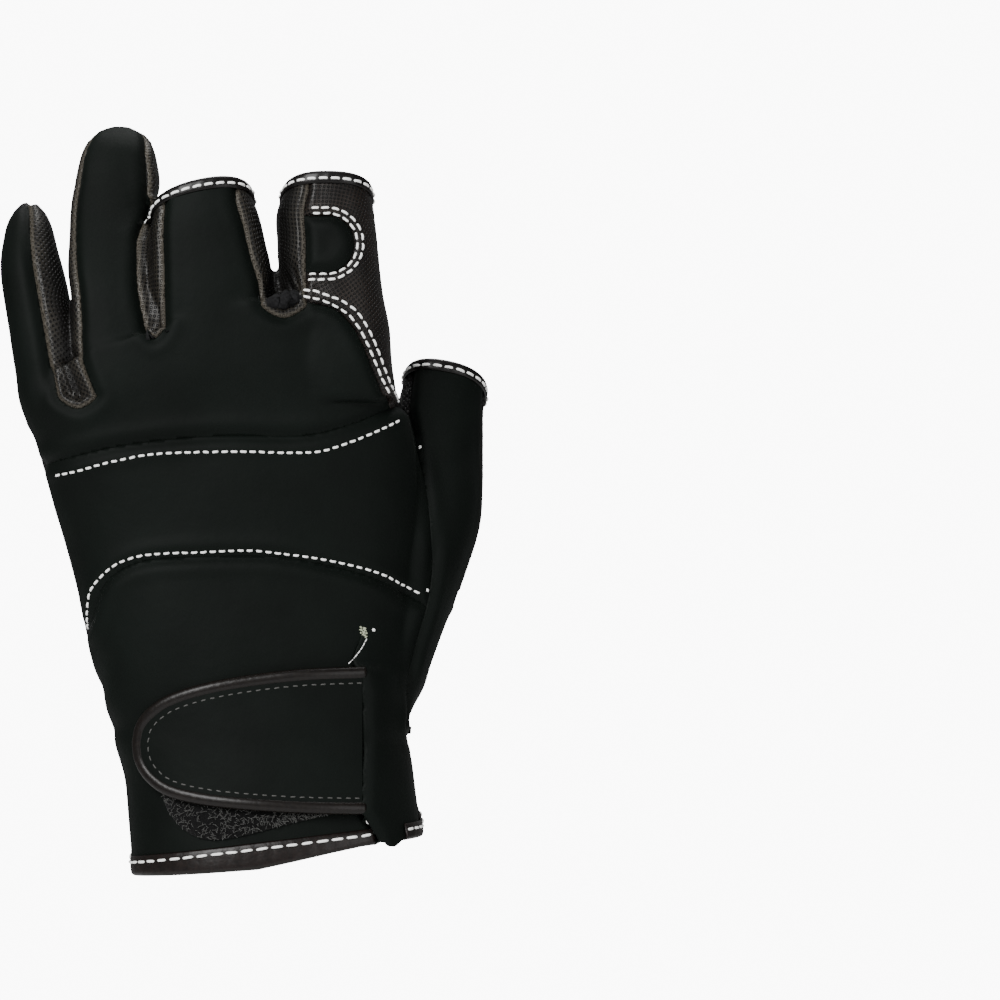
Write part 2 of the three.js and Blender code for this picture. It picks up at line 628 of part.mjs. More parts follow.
// Half height of the tab along its length, as shares from the nose to the sewn end
const tabShape = [
  { along: 0.0, top: -0.02, bottom: -0.06 },
  { along: 0.015, top: 0.1, bottom: -0.16 },
  { along: 0.06, top: 0.2, bottom: -0.27 },
  { along: 0.15, top: 0.3, bottom: -0.37 },
  { along: 0.3, top: 0.38, bottom: -0.43 },
  { along: 0.5, top: 0.44, bottom: -0.465 },
  { along: 0.75, top: 0.485, bottom: -0.49 },
  { along: 1.0, top: 0.5, bottom: -0.5 },
]
const tabNose = strapEndAcross - tabLength
const onTab = (along, up) => [tabNose + along * tabLength, tabMiddle + up * tabHeight]
const tabOutline = [
  ...tabShape.map(({ along, bottom }) => onTab(along, bottom)),
  ...tabShape.toReversed().map(({ along, top }) => onTab(along, top)),
]
const patchBottom = [
  { along: 0.12, drop: 0.2 },
  { along: 0.14, drop: 0.42 },
  { along: 0.2, drop: 0.57 },
  { along: 0.28, drop: 0.655 },
  { along: 0.37, drop: 0.68 },
  { along: 0.5, drop: 0.65 },
  { along: 0.7, drop: 0.57 },
  { along: 0.9, drop: 0.5 },
]
const patchTop = [
  { along: 0.9, rise: 0.3 },
  { along: 0.2, rise: 0.1 },
]
const patchOutline = [
  ...patchBottom.map(({ along, drop }) => onTab(along, -drop)),
  ...patchTop.map(({ along, rise }) => onTab(along, rise)),
]
const strapTop = tabMiddle + tabHeight / 2
const strapBottom = tabMiddle - tabHeight / 2

const patch = layer(seamGap, seamGap + patchThick).intersect(prism(patchOutline)).intersect(front)
const tabLow = 2 * seamGap + patchThick
const tab = layer(tabLow, tabLow + strapThick).intersect(prism(tabOutline)).intersect(front)
const bindingReach = 3.2 // how far the tab's binding covers its face
const bindingEnd = strapEndAcross - bindingReach
const bindingOut = bindingGap + bindingThick
const tabRim = prism(grown(tabOutline, bindingOut)).subtract(prism(grown(tabOutline, -bindingReach)))
const tabPocket = layer(tabLow - seamGap, tabLow + strapThick + bindingGap)
  .intersect(prism(grown(tabOutline, bindingGap)))
const tabEdging = layer(tabLow, tabLow + strapThick + bindingOut)
  .intersect(tabRim)
  .subtract(tabPocket)
  .subtract(prism([[bindingEnd, -far], [far, -far], [far, far], [bindingEnd, far]]))
  .intersect(front)

// The slit beside the strap, open at the hem, and the turned edge of the flap to which the strap is sewn
const slitLine = [
  [slitAcross + slitBend, slitTop],
  [slitAcross - slitBend, strapTop + slitWidth],
  [slitAcross, strapBottom],
  [slitAcross + slitShift, strapBottom - slitFoot],
  [slitAcross + slitShift * 2, strapBottom - slitFoot * 2],
]
const slit = prism([
  ...slitLine,
  ...slitLine.toReversed().map(([x, z]) => [x + slitWidth, z]),
]).intersect(frontHalf(0))
const foldLeft = slitAcross + slitWidth + seamGap
const fold = layer(-wall / 2, tabLow + strapThick)
  .intersect(prism([
    [foldLeft, strapBottom],
    [foldLeft + foldWidth, strapBottom],
    [foldLeft + foldWidth, strapTop],
    [foldLeft, strapTop],
  ]))
  .intersect(front)

// The binding stops at the slit and begins again beyond the bare corner of the flap
const bindingStop = slitAcross + slitShift / 2
const bareCorner = prism([
  [bindingStop, -far],
  [flapCorner, -far],
  [flapCorner, slitTop],
  [bindingStop, slitTop],
]).intersect(frontHalf(0))

// Pieces

const half = seamGap / 2
const notThumb = front.subtract(prism(grown(thumbFront, half)))
const aboveBand = above(bandTop, half)
const belowTop = above(bandTop, -half)
const aboveBottom = above(bandBottom, half)
const belowBottom = above(bandBottom, -half)
const [windowHole, windowFill] = [prism(grown(windowOutline, half)), prism(grown(windowOutline, -half))]
const leatherArea = prism(grown(indexLeather, -half))
const backShell = shell.intersect(notThumb).subtract(gussetCuts)
const rearShell = shell.intersect(rear).subtract(gussetCuts)

const thumbSide = prism(grown(thumbFront, -half))
const wrapSide = prism(grown(wristWrap, -half))
const thumbArea = joined([
  thumbSide.intersect(front), wrapSide.intersect(rear), thumbSide.intersect(wrapSide),
])

const pieces = {
  back_panel: [backShell.intersect(aboveBand).subtract(prism(grown(indexLeather, half))), 'neoprene'],
  knuckle_band: [backShell.intersect(aboveBottom).subtract(belowTop), 'neoprene'],
  wrist_panel: [backShell.subtract(belowBottom).subtract(slit).add(fold), 'neoprene'],
  index_overlay: [backShell.intersect(leatherArea).intersect(aboveBand).subtract(windowHole), 'leather'],
  index_window: [backShell.intersect(windowFill), 'neoprene'],
  thumb_panel: [shell.intersect(thumbArea), 'neoprene'],
  palm_panel: [
    rearShell.subtract(prism(grown(wristWrap, half))).subtract(prism(grown(thenar, half))), 'leather'],
  thenar_panel: [rearShell.intersect(prism(grown(thenar, -half))), 'leather'],
  ...Object.fromEntries(gussets.map((gusset) => [
    gusset.name, [shell.intersect(gussetCutter(gusset, -half)), 'leather']])),
  middle_binding: [binding(fingerRows(fingers.middle), fingerSides, fingerBindingHeight, 1), 'binding'],
  index_binding: [binding(fingerRows(fingers.index), fingerSides, fingerBindingHeight, 1), 'binding'],
  thumb_binding: [binding(fingerRows(fingers.thumb), fingerSides, fingerBindingHeight, 1), 'binding'],
  cuff_binding: [binding(palmRows, palmSides, cuffBindingHeight, -1).subtract(bareCorner), 'binding'],
  strap_tab: [tab, 'neoprene'],
  tab_binding: [tabEdging, 'binding'],
  loop_patch: [patch, 'loops'],
}

const finish = (name, color, roughness) =>
  new THREE.MeshStandardMaterial({ name, color, roughness, metalness: 0 })
const finishes = {
  neoprene: finish('neoprene', 0x121412, 0.85),
  leather: finish('leather', 0x2a2825, 0.6),
  binding: finish('binding', 0x1c1613, 0.45),
  loops: finish('loops', 0x0e0e0e, 1),
}

const glove = new THREE.Group()
glove.name = 'fishing_glove'
for (const [name, [solid, cover]] of Object.entries(pieces)) {
  const mesh = new THREE.Mesh(geometryOf(mainBody(solid)), finishes[cover])
  mesh.name = name
  glove.add(mesh)
}

export default glove
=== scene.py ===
import json
import math

import bmesh
import bpy
import numpy as np
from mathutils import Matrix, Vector, bvhtree, kdtree

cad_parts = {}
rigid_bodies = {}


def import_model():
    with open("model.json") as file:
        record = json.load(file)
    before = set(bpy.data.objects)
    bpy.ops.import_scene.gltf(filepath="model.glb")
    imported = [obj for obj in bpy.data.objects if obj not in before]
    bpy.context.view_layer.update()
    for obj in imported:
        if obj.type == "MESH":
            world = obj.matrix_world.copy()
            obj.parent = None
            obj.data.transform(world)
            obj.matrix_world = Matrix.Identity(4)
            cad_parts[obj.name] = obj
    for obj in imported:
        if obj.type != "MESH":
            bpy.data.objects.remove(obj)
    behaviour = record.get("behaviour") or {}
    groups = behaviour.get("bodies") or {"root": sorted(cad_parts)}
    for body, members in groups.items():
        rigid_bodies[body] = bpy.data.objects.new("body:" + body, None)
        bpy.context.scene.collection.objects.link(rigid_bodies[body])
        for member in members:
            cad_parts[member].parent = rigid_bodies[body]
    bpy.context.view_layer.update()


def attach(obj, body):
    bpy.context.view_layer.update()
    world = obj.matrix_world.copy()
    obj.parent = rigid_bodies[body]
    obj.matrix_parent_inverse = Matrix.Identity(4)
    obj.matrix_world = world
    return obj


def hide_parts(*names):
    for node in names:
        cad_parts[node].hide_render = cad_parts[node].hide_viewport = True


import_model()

# Left-hand fishing glove, neoprene back and punched leather palm, held up as worn.
# Shapes are worked out in millimetres in the frame of the CAD part and turned to metres when a mesh is made.
mm = 0.001
random = np.random.default_rng(11)

glove = {
    "palmLength": 131.0,  # wrist opening to the webs of the fingers
    "cuffWidth": 76.5,
    "cuffDepth": 50.0,
    "wristWidth": 76.5,
    "wristDepth": 43.0,
    "palmDepth": 33.5,
    "knuckleShift": 30.0,  # centre line to the index side of the knuckles
    "thumbInset": 7.5,  # index side of the knuckles to the middle of the thumb's root
    "fingerGap": 0.6,
    "squareness": 2.4,  # 2 is an ellipse, more is boxier
    "sheet": 1.7,  # thickness of a panel
    "voxel": 0.75,
    "smoothing": 12,
    "swell": 0.25,  # what smoothing takes off a limb again
    "overrun": 7.0,  # how far an open limb runs on before it is cut at its hem
    "bandMiddle": 89.0,
    "bandHeight": 29.5,
}

# Rows from root to tip: along, side and back are shares of the length, wide and deep of width and depth,
# and the section plane is turned by tilt and roll degrees
fingers = {
    "pinky": {"length": 66.7, "width": 17.8, "depth": 17.0, "root": 103.0, "closed": True, "rows": [
        (0.0, 0.132, 0.008, 0.88, 0.88, 0, 0),
        (0.18, 0.065, 0.008, 1.03, 1.0, 0, 0),
        (0.3, 0.034, 0.02, 1.0, 1.0, 0, 0),
        (0.43, 0.01, 0.037, 1.0, 1.0, 0, 0),
        (0.67, -0.033, 0.09, 0.915, 0.98, 0, 0),
        (0.79, -0.051, 0.135, 0.8, 0.93, 0, 0),
        (0.9, -0.058, 0.185, 0.62, 0.74, 0, 0),
        (0.965, -0.059, 0.215, 0.38, 0.46, 0, 0),
        (1.0, -0.063, 0.23, 0.12, 0.15, 0, 0)]},
    "ring": {"length": 75.0, "width": 22.4, "depth": 19.6, "root": 116.4, "closed": True, "rows": [
        (0.0, 0.027, -0.04, 0.75, 0.9, 0, 0),
        (0.15, 0.004, -0.035, 1.02, 1.0, 0, 0),
        (0.26, 0.0, -0.02, 1.04, 1.0, 0, 0),
        (0.37, -0.015, 0.005, 0.98, 1.0, 0, 0),
        (0.48, -0.026, 0.045, 0.99, 1.0, 0, 0),
        (0.67, -0.024, 0.155, 0.985, 0.97, 0, 0),
        (0.78, -0.006, 0.21, 1.03, 0.95, 0, 0),
        (0.87, -0.005, 0.24, 0.95, 0.88, 0, 0),
        (0.925, -0.004, 0.257, 0.83, 0.77, 0, 0),
        (0.97, -0.003, 0.275, 0.61, 0.54, 0, 0),
        (1.0, 0.0, 0.285, 0.22, 0.18, 0, 0)]},
    "middle": {"length": 50.7, "width": 31.4, "depth": 22.0, "root": 119.0, "closed": False, "rows": [
        (0.0, -0.01, -0.05, 0.88, 1.1, 0, 0),
        (0.24, -0.02, -0.06, 1.09, 1.08, 0, 0),
        (0.41, -0.032, -0.065, 1.1, 1.0, -6, 0),
        (0.56, -0.038, -0.05, 1.08, 1.0, -12, 3),
        (0.72, -0.065, -0.03, 0.998, 0.98, -18, 6),
        (0.86, -0.083, -0.005, 0.935, 0.96, -24, 9),
        (1.0, -0.1, 0.025, 0.83, 0.92, -28, 11)]},
    "index": {"length": 56.2, "width": 28.6, "depth": 22.0, "root": 116.4, "closed": False, "rows": [
        (0.0, 0.053, -0.04, 0.98, 1.1, 0, 0),
        (0.19, 0.01, -0.045, 1.03, 1.08, 0, 0),
        (0.34, 0.0, -0.045, 1.03, 1.0, -4, 0),
        (0.48, -0.01, -0.03, 0.967, 1.0, -8, 1),
        (0.63, -0.022, -0.01, 0.934, 0.98, -13, 1),
        (0.77, -0.026, 0.015, 0.915, 0.96, -18, 2),
        (0.89, -0.034, 0.035, 0.905, 0.95, -23, 1),
        (1.0, -0.022, 0.055, 0.8, 0.91, -26, 0)]},
    "thumb": {"length": 96.7, "width": 27.0, "depth": 33.0, "root": 24.6, "closed": False, "rows": [
        (0.0, 0.0, 0.05, 0.88, 0.7, 0, 0),
        (0.14, 0.036, 0.08, 1.0, 0.93, 0, 0),
        (0.31, 0.098, 0.115, 1.01, 1.0, 0, 0),
        (0.475, 0.152, 0.15, 0.99, 0.98, -5, -3),
        (0.64, 0.202, 0.195, 0.965, 0.9, -11, -6),
        (0.81, 0.218, 0.25, 0.885, 0.8, -18, -10),
        (0.92, 0.228, 0.288, 0.835, 0.74, -23, -11),
        (1.0, 0.243, 0.315, 0.78, 0.69, -26, -9)]},
}
# rows of the same kind for the web between palm and thumb
webRows = [
    (0.4, 0.11, 0.09, 0.75, 0.8, 0, 0),
    (0.58, 0.15, 0.11, 0.72, 0.72, 0, 0),
    (0.74, 0.165, 0.15, 0.55, 0.6, 0, 0),
    (0.84, 0.165, 0.175, 0.34, 0.4, 0, 0),
]
# up is a share of the palm length, aside and back of its width and depth; wide and deep count from 0, the
# cuff, over 1, the wrist, to 2, the knuckles; then tilt, roll, and rise, by which the palm side climbs
palmRows = [
    (-0.043, 0.004, 0.0, 0.0, 0.0, 0, 7, 27),
    (0.05, -0.009, 0.0, 0.6, 0.5, 0, 5, 20),
    (0.12, -0.019, 0.0, 0.95, 0.85, 0, 2, 12),
    (0.18, -0.039, 0.02, 1.03, 1.0, 0, 0, 5),
    (0.215, -0.034, 0.03, 1.08, 0.95, 0, 0, 0),
    (0.27, -0.05, 0.05, 1.17, 0.9, 0, 0, 0),
    (0.373, -0.066, 0.07, 1.35, 0.95, 0, 0, 0),
    (0.579, -0.091, 0.08, 1.65, 1.4, 0, 2, 0),
    (0.682, -0.106, 0.06, 1.785, 1.65, 0, 4, 0),
    (0.785, -0.122, 0.045, 1.87, 1.87, 0, 6, 0),
    (0.868, -0.161, 0.045, 1.73, 2.0, 0, 9, 0),
    (0.94, -0.181, 0.01, 1.76, 2.25, -10, 13, 0),
    (1.03, -0.17, -0.08, 1.5, 3.1, -24, 16, 0),
]

gap = glove["fingerGap"]
fingers["index"]["across"] = glove["knuckleShift"] - fingers["index"]["width"] / 2
for name, beside in (("middle", "index"), ("ring", "middle"), ("pinky", "ring")):
    widths = fingers[name]["width"] + fingers[beside]["width"]
    fingers[name]["across"] = fingers[beside]["across"] - widths / 2 - gap
fingers["thumb"]["across"] = glove["knuckleShift"] - glove["thumbInset"]
palmWidth = glove["knuckleShift"] - fingers["pinky"]["across"] + fingers["pinky"]["width"] / 2
palmLength = glove["palmLength"]
palmDepth = glove["palmDepth"]


# Sections and lofts

# x, y, z, half width, half depth, tilt, roll and rise of each section
def fingerSections(finger, rows=None):
    table = np.array(rows or finger["rows"], float)
    length = finger["length"]
    return np.column_stack([
        finger["across"] + table[:, 1] * length,
        table[:, 2] * length,
        finger["root"] + table[:, 0] * length,
        table[:, 3] * finger["width"] / 2,
        table[:, 4] * finger["depth"] / 2,
        table[:, 5],
        table[:, 6],
        np.zeros(len(table)),
    ])


def palmSections():
    table = np.array(palmRows, float)
    wide = np.interp(table[:, 3], [0, 1, 2], [glove["cuffWidth"], glove["wristWidth"], palmWidth])
    deep = glove["wristDepth"] + (palmDepth - glove["wristDepth"]) * (table[:, 4] - 1)
    depths = [glove["cuffDepth"], glove["wristDepth"]]
    deep = np.where(table[:, 4] < 1, np.interp(table[:, 4], [0, 1], depths), deep)
    return np.column_stack([
        table[:, 1] * palmWidth,
        table[:, 2] * palmDepth,
        table[:, 0] * palmLength,
        wide / 2,
        deep / 2,
        table[:, 5],
        table[:, 6],
        table[:, 7],
    ])


# Catmull-Rom through all points, with steps between two of them
def smoothCurve(points, steps, closed=False):
    points = np.asarray(points, float)
    count = len(points)
    if closed:
        before, after, last = np.roll(points, 1, 0), np.roll(points, -1, 0), np.roll(points, -2, 0)
        start = points
    else:
        padded = np.vstack([2 * points[0] - points[1], points, 2 * points[-1] - points[-2]])
        before, start, after, last = padded[:-3], padded[1:-2], padded[2:-1], padded[3:]
    share = np.linspace(0, 1, steps, endpoint=False)[None, :, None]
    p0, p1, p2, p3 = (group[:, None, :] for group in (before, start, after, last))
    curve = 0.5 * (2 * p1 + (p2 - p0) * share + (2 * p0 - 5 * p1 + 4 * p2 - p3) * share ** 2
                   + (3 * p1 - p0 - 3 * p2 + p3) * share ** 3)
    curve = curve.reshape(-1, points.shape[1])
    return curve if closed else np.vstack([curve, points[-1]])


# Height of a section's plane at x and y from its middle
def climb(section, x, y):
    tilt, roll, rise = np.tan(np.radians(section[5:8]))
    return x * roll + y * tilt + np.maximum(y, 0) * rise


# Cosine or sine of a superellipse
def boxy(values):
    return np.sign(values) * np.abs(values) ** (2 / glove["squareness"])


def anglesRound(sides):
    return np.arange(sides) / sides * 2 * np.pi


def ringOf(section, sides, offset=0.0):
    turns = anglesRound(sides)
    x = (section[3] + offset) * boxy(np.cos(turns))
    y = (section[4] + offset) * boxy(np.sin(turns))
    return np.column_stack([section[0] + x, section[1] + y, section[2] + climb(section, x, y)])


# The sections with one more, where the limb runs on straight by a distance
def runOn(sections, distance, atEnd=True):
    first, second = (sections[-1], sections[-2]) if atEnd else (sections[0], sections[1])
    extra = first.copy()
    extra[:3] += (first[:3] - second[:3]) * (distance / abs(first[2] - second[2]))
    return np.vstack([sections, extra]) if atEnd else np.vstack([extra, sections])


def makeMesh(name, points, faces):
    mesh = bpy.data.meshes.new(name)
    mesh.from_pydata((np.asarray(points) * mm).tolist(), [], [list(face) for face in faces])
    mesh.update()
    piece = bpy.data.objects.new(name, mesh)
    bpy.context.scene.collection.objects.link(piece)
    return piece


def loftPiece(name, sections, sides=56):
    rows = smoothCurve(sections, 5)
    rings = [ringOf(row, sides, glove["swell"]) for row in rows]
    faces = []
    for level in range(len(rings) - 1):
        for i in range(sides):
            j = (i + 1) % sides
            low, high = level * sides, (level + 1) * sides
            faces.append((low + i, low + j, high + j, high + i))
    faces.append(tuple(reversed(range(sides))))
    faces.append(tuple(range((len(rings) - 1) * sides, len(rings) * sides)))
    return makeMesh(name, np.vstack(rings), faces)


# Quads round the rings of a tube, and its two ends unless it is closed in a loop
def tubeFaces(rings, sides, base=0, closed=False):
    faces = []
    for row in range(rings if closed else rings - 1):
        low, high = base + row * sides, base + (row + 1) % rings * sides
        for i in range(sides):
            j = (i + 1) % sides
            faces.append((low + i, high + i, high + j, low + j))
    if not closed:
        faces.append(tuple(base + i for i in range(sides)))
        faces.append(tuple(base + (rings - 1) * sides + i for i in reversed(range(sides))))
    return faces


def choose(*pieces):
    for other in bpy.context.view_layer.objects:
        other.select_set(False)
    for piece in pieces:
        piece.select_set(True)
    bpy.context.view_layer.objects.active = pieces[-1]


def addModifier(piece, kind, **settings):
    modifier = piece.modifiers.new(kind.lower(), kind)
    for key, value in settings.items():
        setattr(modifier, key, value)
    choose(piece)
    bpy.ops.object.modifier_apply(modifier=modifier.name)


# Faces turned outwards and shaded smooth
def turnOutwards(piece):
    choose(piece)
    bpy.ops.object.mode_set(mode="EDIT")
    bpy.ops.mesh.select_all(action="SELECT")
    bpy.ops.mesh.normals_make_consistent(inside=False)
    bpy.ops.object.mode_set(mode="OBJECT")
    bpy.ops.object.shade_smooth()


# One closed skin over palm, fingers and thumb, still without openings
def handForm():
    thumb = fingers["thumb"]
    limbs = [loftPiece("palmForm", runOn(palmSections(), glove["overrun"], atEnd=False), 88)]
    limbs.append(loftPiece("webForm", fingerSections(thumb, webRows)))
    for name, finger in fingers.items():
        sections = fingerSections(finger)
        if not finger["closed"]:
            sections = runOn(sections, glove["overrun"])
        limbs.append(loftPiece(name + "Form", sections))
    choose(*limbs)
    bpy.ops.object.join()
    form = bpy.context.view_layer.objects.active
    addModifier(form, "REMESH", mode="VOXEL", voxel_size=glove["voxel"] * mm)
    addModifier(form, "SMOOTH", factor=0.5, iterations=glove["smoothing"])
    return form


def step(value, low, high):
    share = np.clip((value - low) / (high - low), 0, 1)
    return share * share * (3 - 2 * share)


def readAll(items, key, kind, width=1):
    values = np.zeros(len(items) * width, kind)
    items.foreach_get(key, values)
    return values


# Points in mm and normals
def meshArrays(mesh):
    points, normals = (readAll(mesh.vertices, key, float, 3).reshape(-1, 3) for key in ("co", "normal"))
    return points / mm, normals


# Folds pressed into the cloth: two ends, half width and depth
folds = [
    {"from": (31, 12, 96), "to": (39, 24, 78), "wide": 3.0, "deep": 1.1},
    {"from": (29, 15, 86), "to": (39, 28, 66), "wide": 3.0, "deep": 0.9},
    {"from": (24, 18, 78), "to": (36, 30, 54), "wide": 2.6, "deep": 0.8},
    {"from": (33, -8, 40), "to": (36, 10, 30), "wide": 4.0, "deep": 1.4},
    {"from": (-46, -8, 44), "to": (-44, 8, 34), "wide": 4.0, "deep": 0.9},
    {"from": (-66, 6, 128), "to": (-52, 9, 132), "wide": 2.4, "deep": 0.5},
    {"from": (-54, 10, 150), "to": (-36, 11, 153), "wide": 2.6, "deep": 0.6},
    {"from": (44, 10, 96), "to": (55, 20, 104), "wide": 3.5, "deep": 0.6},
]
foldEnds = 0.15  # where on a half wave of its depth a fold begins
foldLip = 0.35  # share of its depth by which the cloth stands up beside a fold
# gathers over the palm side of the wrist, between two heights and from one depth to the next
shirring = {
    "low": 9.0, "high": 27.0, "fade": 5.0, "from": 6.0, "to": 14.0,
    "pitch": 2.3, "sway": 0.9, "swayRate": 0.35, "deep": 0.42, "sink": 0.6}
unevenness = {"waves": 14, "shortest": 16.0, "longest": 55.0, "deep": 0.16, "phases": 6.3}


# Distance of points to a segment, and the share of it at which each comes closest
def segmentDistance(points, start, end):
    start, end = np.array(start, float), np.array(end, float)
    along = end - start
    share = np.clip(((points - start) @ along) / (along @ along), 0, 1)
    return np.linalg.norm(points - (start + share[:, None] * along), axis=1), share


def pressFolds(form):
    points, normals = meshArrays(form.data)
    shift = np.zeros(len(points))
    for fold in folds:
        distance, share = segmentDistance(points, fold["from"], fold["to"])
        fade = np.sin(np.pi * (foldEnds + (1 - 2 * foldEnds) * share))
        wide, deep = fold["wide"], fold["deep"] * fade
        shift -= deep * np.exp(-(distance / wide) ** 2)
        shift += foldLip * deep * np.exp(-((distance - 2 * wide) / wide) ** 2)
    x, y, z = points.T
    inside = step(z, shirring["low"], shirring["low"] + shirring["fade"])
    inside *= 1 - step(z, shirring["high"] - shirring["fade"], shirring["high"])
    inside *= step(y, shirring["from"], shirring["to"])
    sway = shirring["sway"] * np.sin(z * shirring["swayRate"])
    wave = np.sin(2 * np.pi * x / shirring["pitch"] + sway)
    shift += shirring["deep"] * inside * (wave - shirring["sink"])
    for _ in range(unevenness["waves"]):
        direction = random.normal(size=3)
        length = random.uniform(unevenness["shortest"], unevenness["longest"])
        direction *= 2 * np.pi / length / np.linalg.norm(direction)
        phase = random.uniform(0, unevenness["phases"])
        share = length / unevenness["longest"]
        shift += unevenness["deep"] * np.sin(points @ direction + phase) * share
    points += normals * shift[:, None]
    form.data.vertices.foreach_set("co", (points * mm).ravel())
    form.data.update()


# Seam fields: each gives every point a number that is below zero on one side of a seam and 0 on it

# up the hand: depth of the side seam on the curled fingers, on the hand and on the thumb, as shares of the
# palm's depth, and where it steps over from one to the next, as shares of its width
sideSeam = np.array([
    (-0.3, 0.0, 0.0, 0.2, -0.3, 0.02),
    (0.2, 0.03, 0.03, 0.24, -0.3, 0.05),
    (0.45, 0.06, 0.06, 0.36, -0.3, 0.1),
    (0.65, 0.05, 0.05, 0.54, -0.3, 0.16),
    (0.86, 0.04, 0.02, 0.76, -0.3, 0.33),
    (1.02, 0.08, -0.04, 0.95, -0.304, 0.345),
    (1.15, 0.19, -0.04, 1.0, -0.315, 0.345),
    (1.3, 0.42, 0.06, 1.0, -0.34, 0.345),
    (1.6, 0.85, 0.15, 1.0, -0.36, 0.345),
])
ringStep = 0.01
thumbStep = 0.03


def sideField(points):
    up = points[:, 2] / palmLength
    curled, hand, thumb, ringCross, thumbCross = (
        np.interp(up, sideSeam[:, 0], sideSeam[:, column]) for column in range(1, 6))
    x = points[:, 0] / palmWidth
    depth = curled + (hand - curled) * step(x, ringCross, ringCross + ringStep)
    depth += (thumb - hand) * step(x, thumbCross, thumbCross + thumbStep)
    return points[:, 1] - depth * palmDepth


def bandLine(rows):
    shape = np.array(rows, float)
    return np.column_stack([shape[:, 0] * palmWidth, glove["bandMiddle"] + shape[:, 1] * glove["bandHeight"]])


# across the hand and rise, as shares of palm width and band height
bandTop = bandLine([
    (-0.75, 0.2), (-0.58, 0.36), (-0.38, 0.52), (-0.14, 0.6), (0.08, 0.6), (0.22, 0.72), (0.34, 0.9),
    (0.6, 1.2)])
bandBottom = bandLine([
    (-0.6, -2.0), (-0.49, -1.1), (-0.465, -0.84), (-0.42, -0.66), (-0.34, -0.54), (-0.2, -0.5),
    (0.0, -0.5), (0.14, -0.58), (0.28, -0.72), (0.4, -0.95), (0.6, -1.3)])


# Height of a line of (x, z) places at x
def lineAt(line, x):
    return np.interp(x, line[:, 0], line[:, 1])


def heightField(line):
    curve = smoothCurve(line, 8)
    curve = curve[np.argsort(curve[:, 0])]
    return lambda points: points[:, 2] - lineAt(curve, points[:, 0])


# Distance to a closed outline in x and z, below zero inside it
def outlineField(outline):
    outline = np.asarray(outline, float)
    following = np.roll(outline, -1, 0)

    def field(points):
        flat = points[:, [0, 2]]
        best = np.full(len(flat), 1e9)
        inside = np.zeros(len(flat), bool)
        for start, end in zip(outline, following):
            if np.allclose(start, end):
                continue
            best = np.minimum(best, segmentDistance(flat, start, end)[0])
            crosses = (start[1] > flat[:, 1]) != (end[1] > flat[:, 1])
            with np.errstate(divide="ignore", invalid="ignore"):
                meets = start[0] + (flat[:, 1] - start[1]) / (end[1] - start[1]) * (end[0] - start[0])
            inside ^= crosses & (flat[:, 0] < meets)
        return np.where(inside, -best, best)

    return field


# Shares of the palm's width and length to x and z
def shared(rows):
    return np.array(rows, float) * [palmWidth, palmLength]


thumbSeam = shared([
    (0.345, 1.25), (0.345, 0.96), (0.345, 0.88), (0.372, 0.8), (0.4, 0.71), (0.415, 0.63), (0.42, 0.55),
    (0.408, 0.47), (0.38, 0.39), (0.355, 0.3), (0.345, 0.2), (0.36, 0.1), (0.385, 0.0), (0.4, -0.2)])
wristWrap = shared([
    (0.17, -0.3), (0.17, 0.1), (0.155, 0.21), (0.34, 0.36), (0.5, 0.5), (1.2, 0.6), (1.2, -0.3)])
thenarSeam = shared([
    (0.155, 0.21), (0.115, 0.32), (0.09, 0.42), (0.095, 0.53), (0.135, 0.62), (0.205, 0.68),
    (0.275, 0.72), (0.345, 0.8)])
thenarRest = shared([(0.345, 1.2), (1.2, 1.2), (1.2, 0.6), (0.5, 0.5), (0.34, 0.36)])
leatherSweep = shared([
    (0.08, 1.091), (0.16, 1.075), (0.2058, 1.042), (0.2382, 1.0), (0.27, 0.941), (0.3, 0.89),
    (0.345, 0.83)])
farRight = 130.0  # well beyond the glove

# Gussets: angles round the finger of their seams, -90 is the back, 90 the palm side and 0 the thumb side
gussets = {
    "gussetPinkyRing": {
        "left": "pinky", "right": "ring", "back": (-85, -146), "palm": (50, 130), "ends": (114, 110),
        "twist": (0, -14)},
    "gussetRingMiddle": {
        "left": "ring", "right": "middle", "back": (-50, -137), "palm": (45, 138), "ends": (133, 118),
        "twist": (54, 0)},
    "gussetMiddleIndex": {
        "left": "middle", "right": "index", "back": (-42, -114), "palm": (42, 138), "ends": (138.5, 119),
        "twist": (0, 0)},
}
gussetRise = 3.0
twistFrom = 0.42
twistTo = 0.7
seamBeyond = 14.0  # how far a seam's line runs on past the hem


# A gusset's seam up a finger in x and z; its angle changes by twist between two shares of its height
def seamUp(finger, angle, start, twist):
    sections = smoothCurve(fingerSections(finger), 6)
    heights = sections[:, 2]
    share = np.clip((heights - start) / (heights[-1] - start), 0, 1)
    turns = np.radians(angle + twist * step(share, twistFrom, twistTo))
    across = sections[:, 0] + sections[:, 3] * boxy(np.cos(turns))
    keep = heights > start + 1
    line = np.column_stack([across[keep], heights[keep]])
    first = [np.interp(start, heights, across), start]
    beyond = [line[-1, 0], line[-1, 1] + seamBeyond]
    return np.vstack([first, line, beyond])


def gussetField(gusset, side):
    end = gusset["ends"][side]
    angles = gusset["back"] if side == 0 else gusset["palm"]
    twist = gusset["twist"] if side == 0 else (0, 0)
    left = seamUp(fingers[gusset["left"]], angles[0], end + gussetRise, twist[0])
    right = seamUp(fingers[gusset["right"]], angles[1], end + gussetRise, twist[1])
    middle = (left[0, 0] + right[0, 0]) / 2
    shoulder = end + 0.3 * gussetRise
    bottom = smoothCurve([
        left[1], left[0], ((left[0, 0] + middle) / 2, shoulder), (middle, end),
        ((right[0, 0] + middle) / 2, shoulder), right[0], right[1]], 6)
    return outlineField(np.vstack([left[::-1][:-2], bottom, right[2:]]))


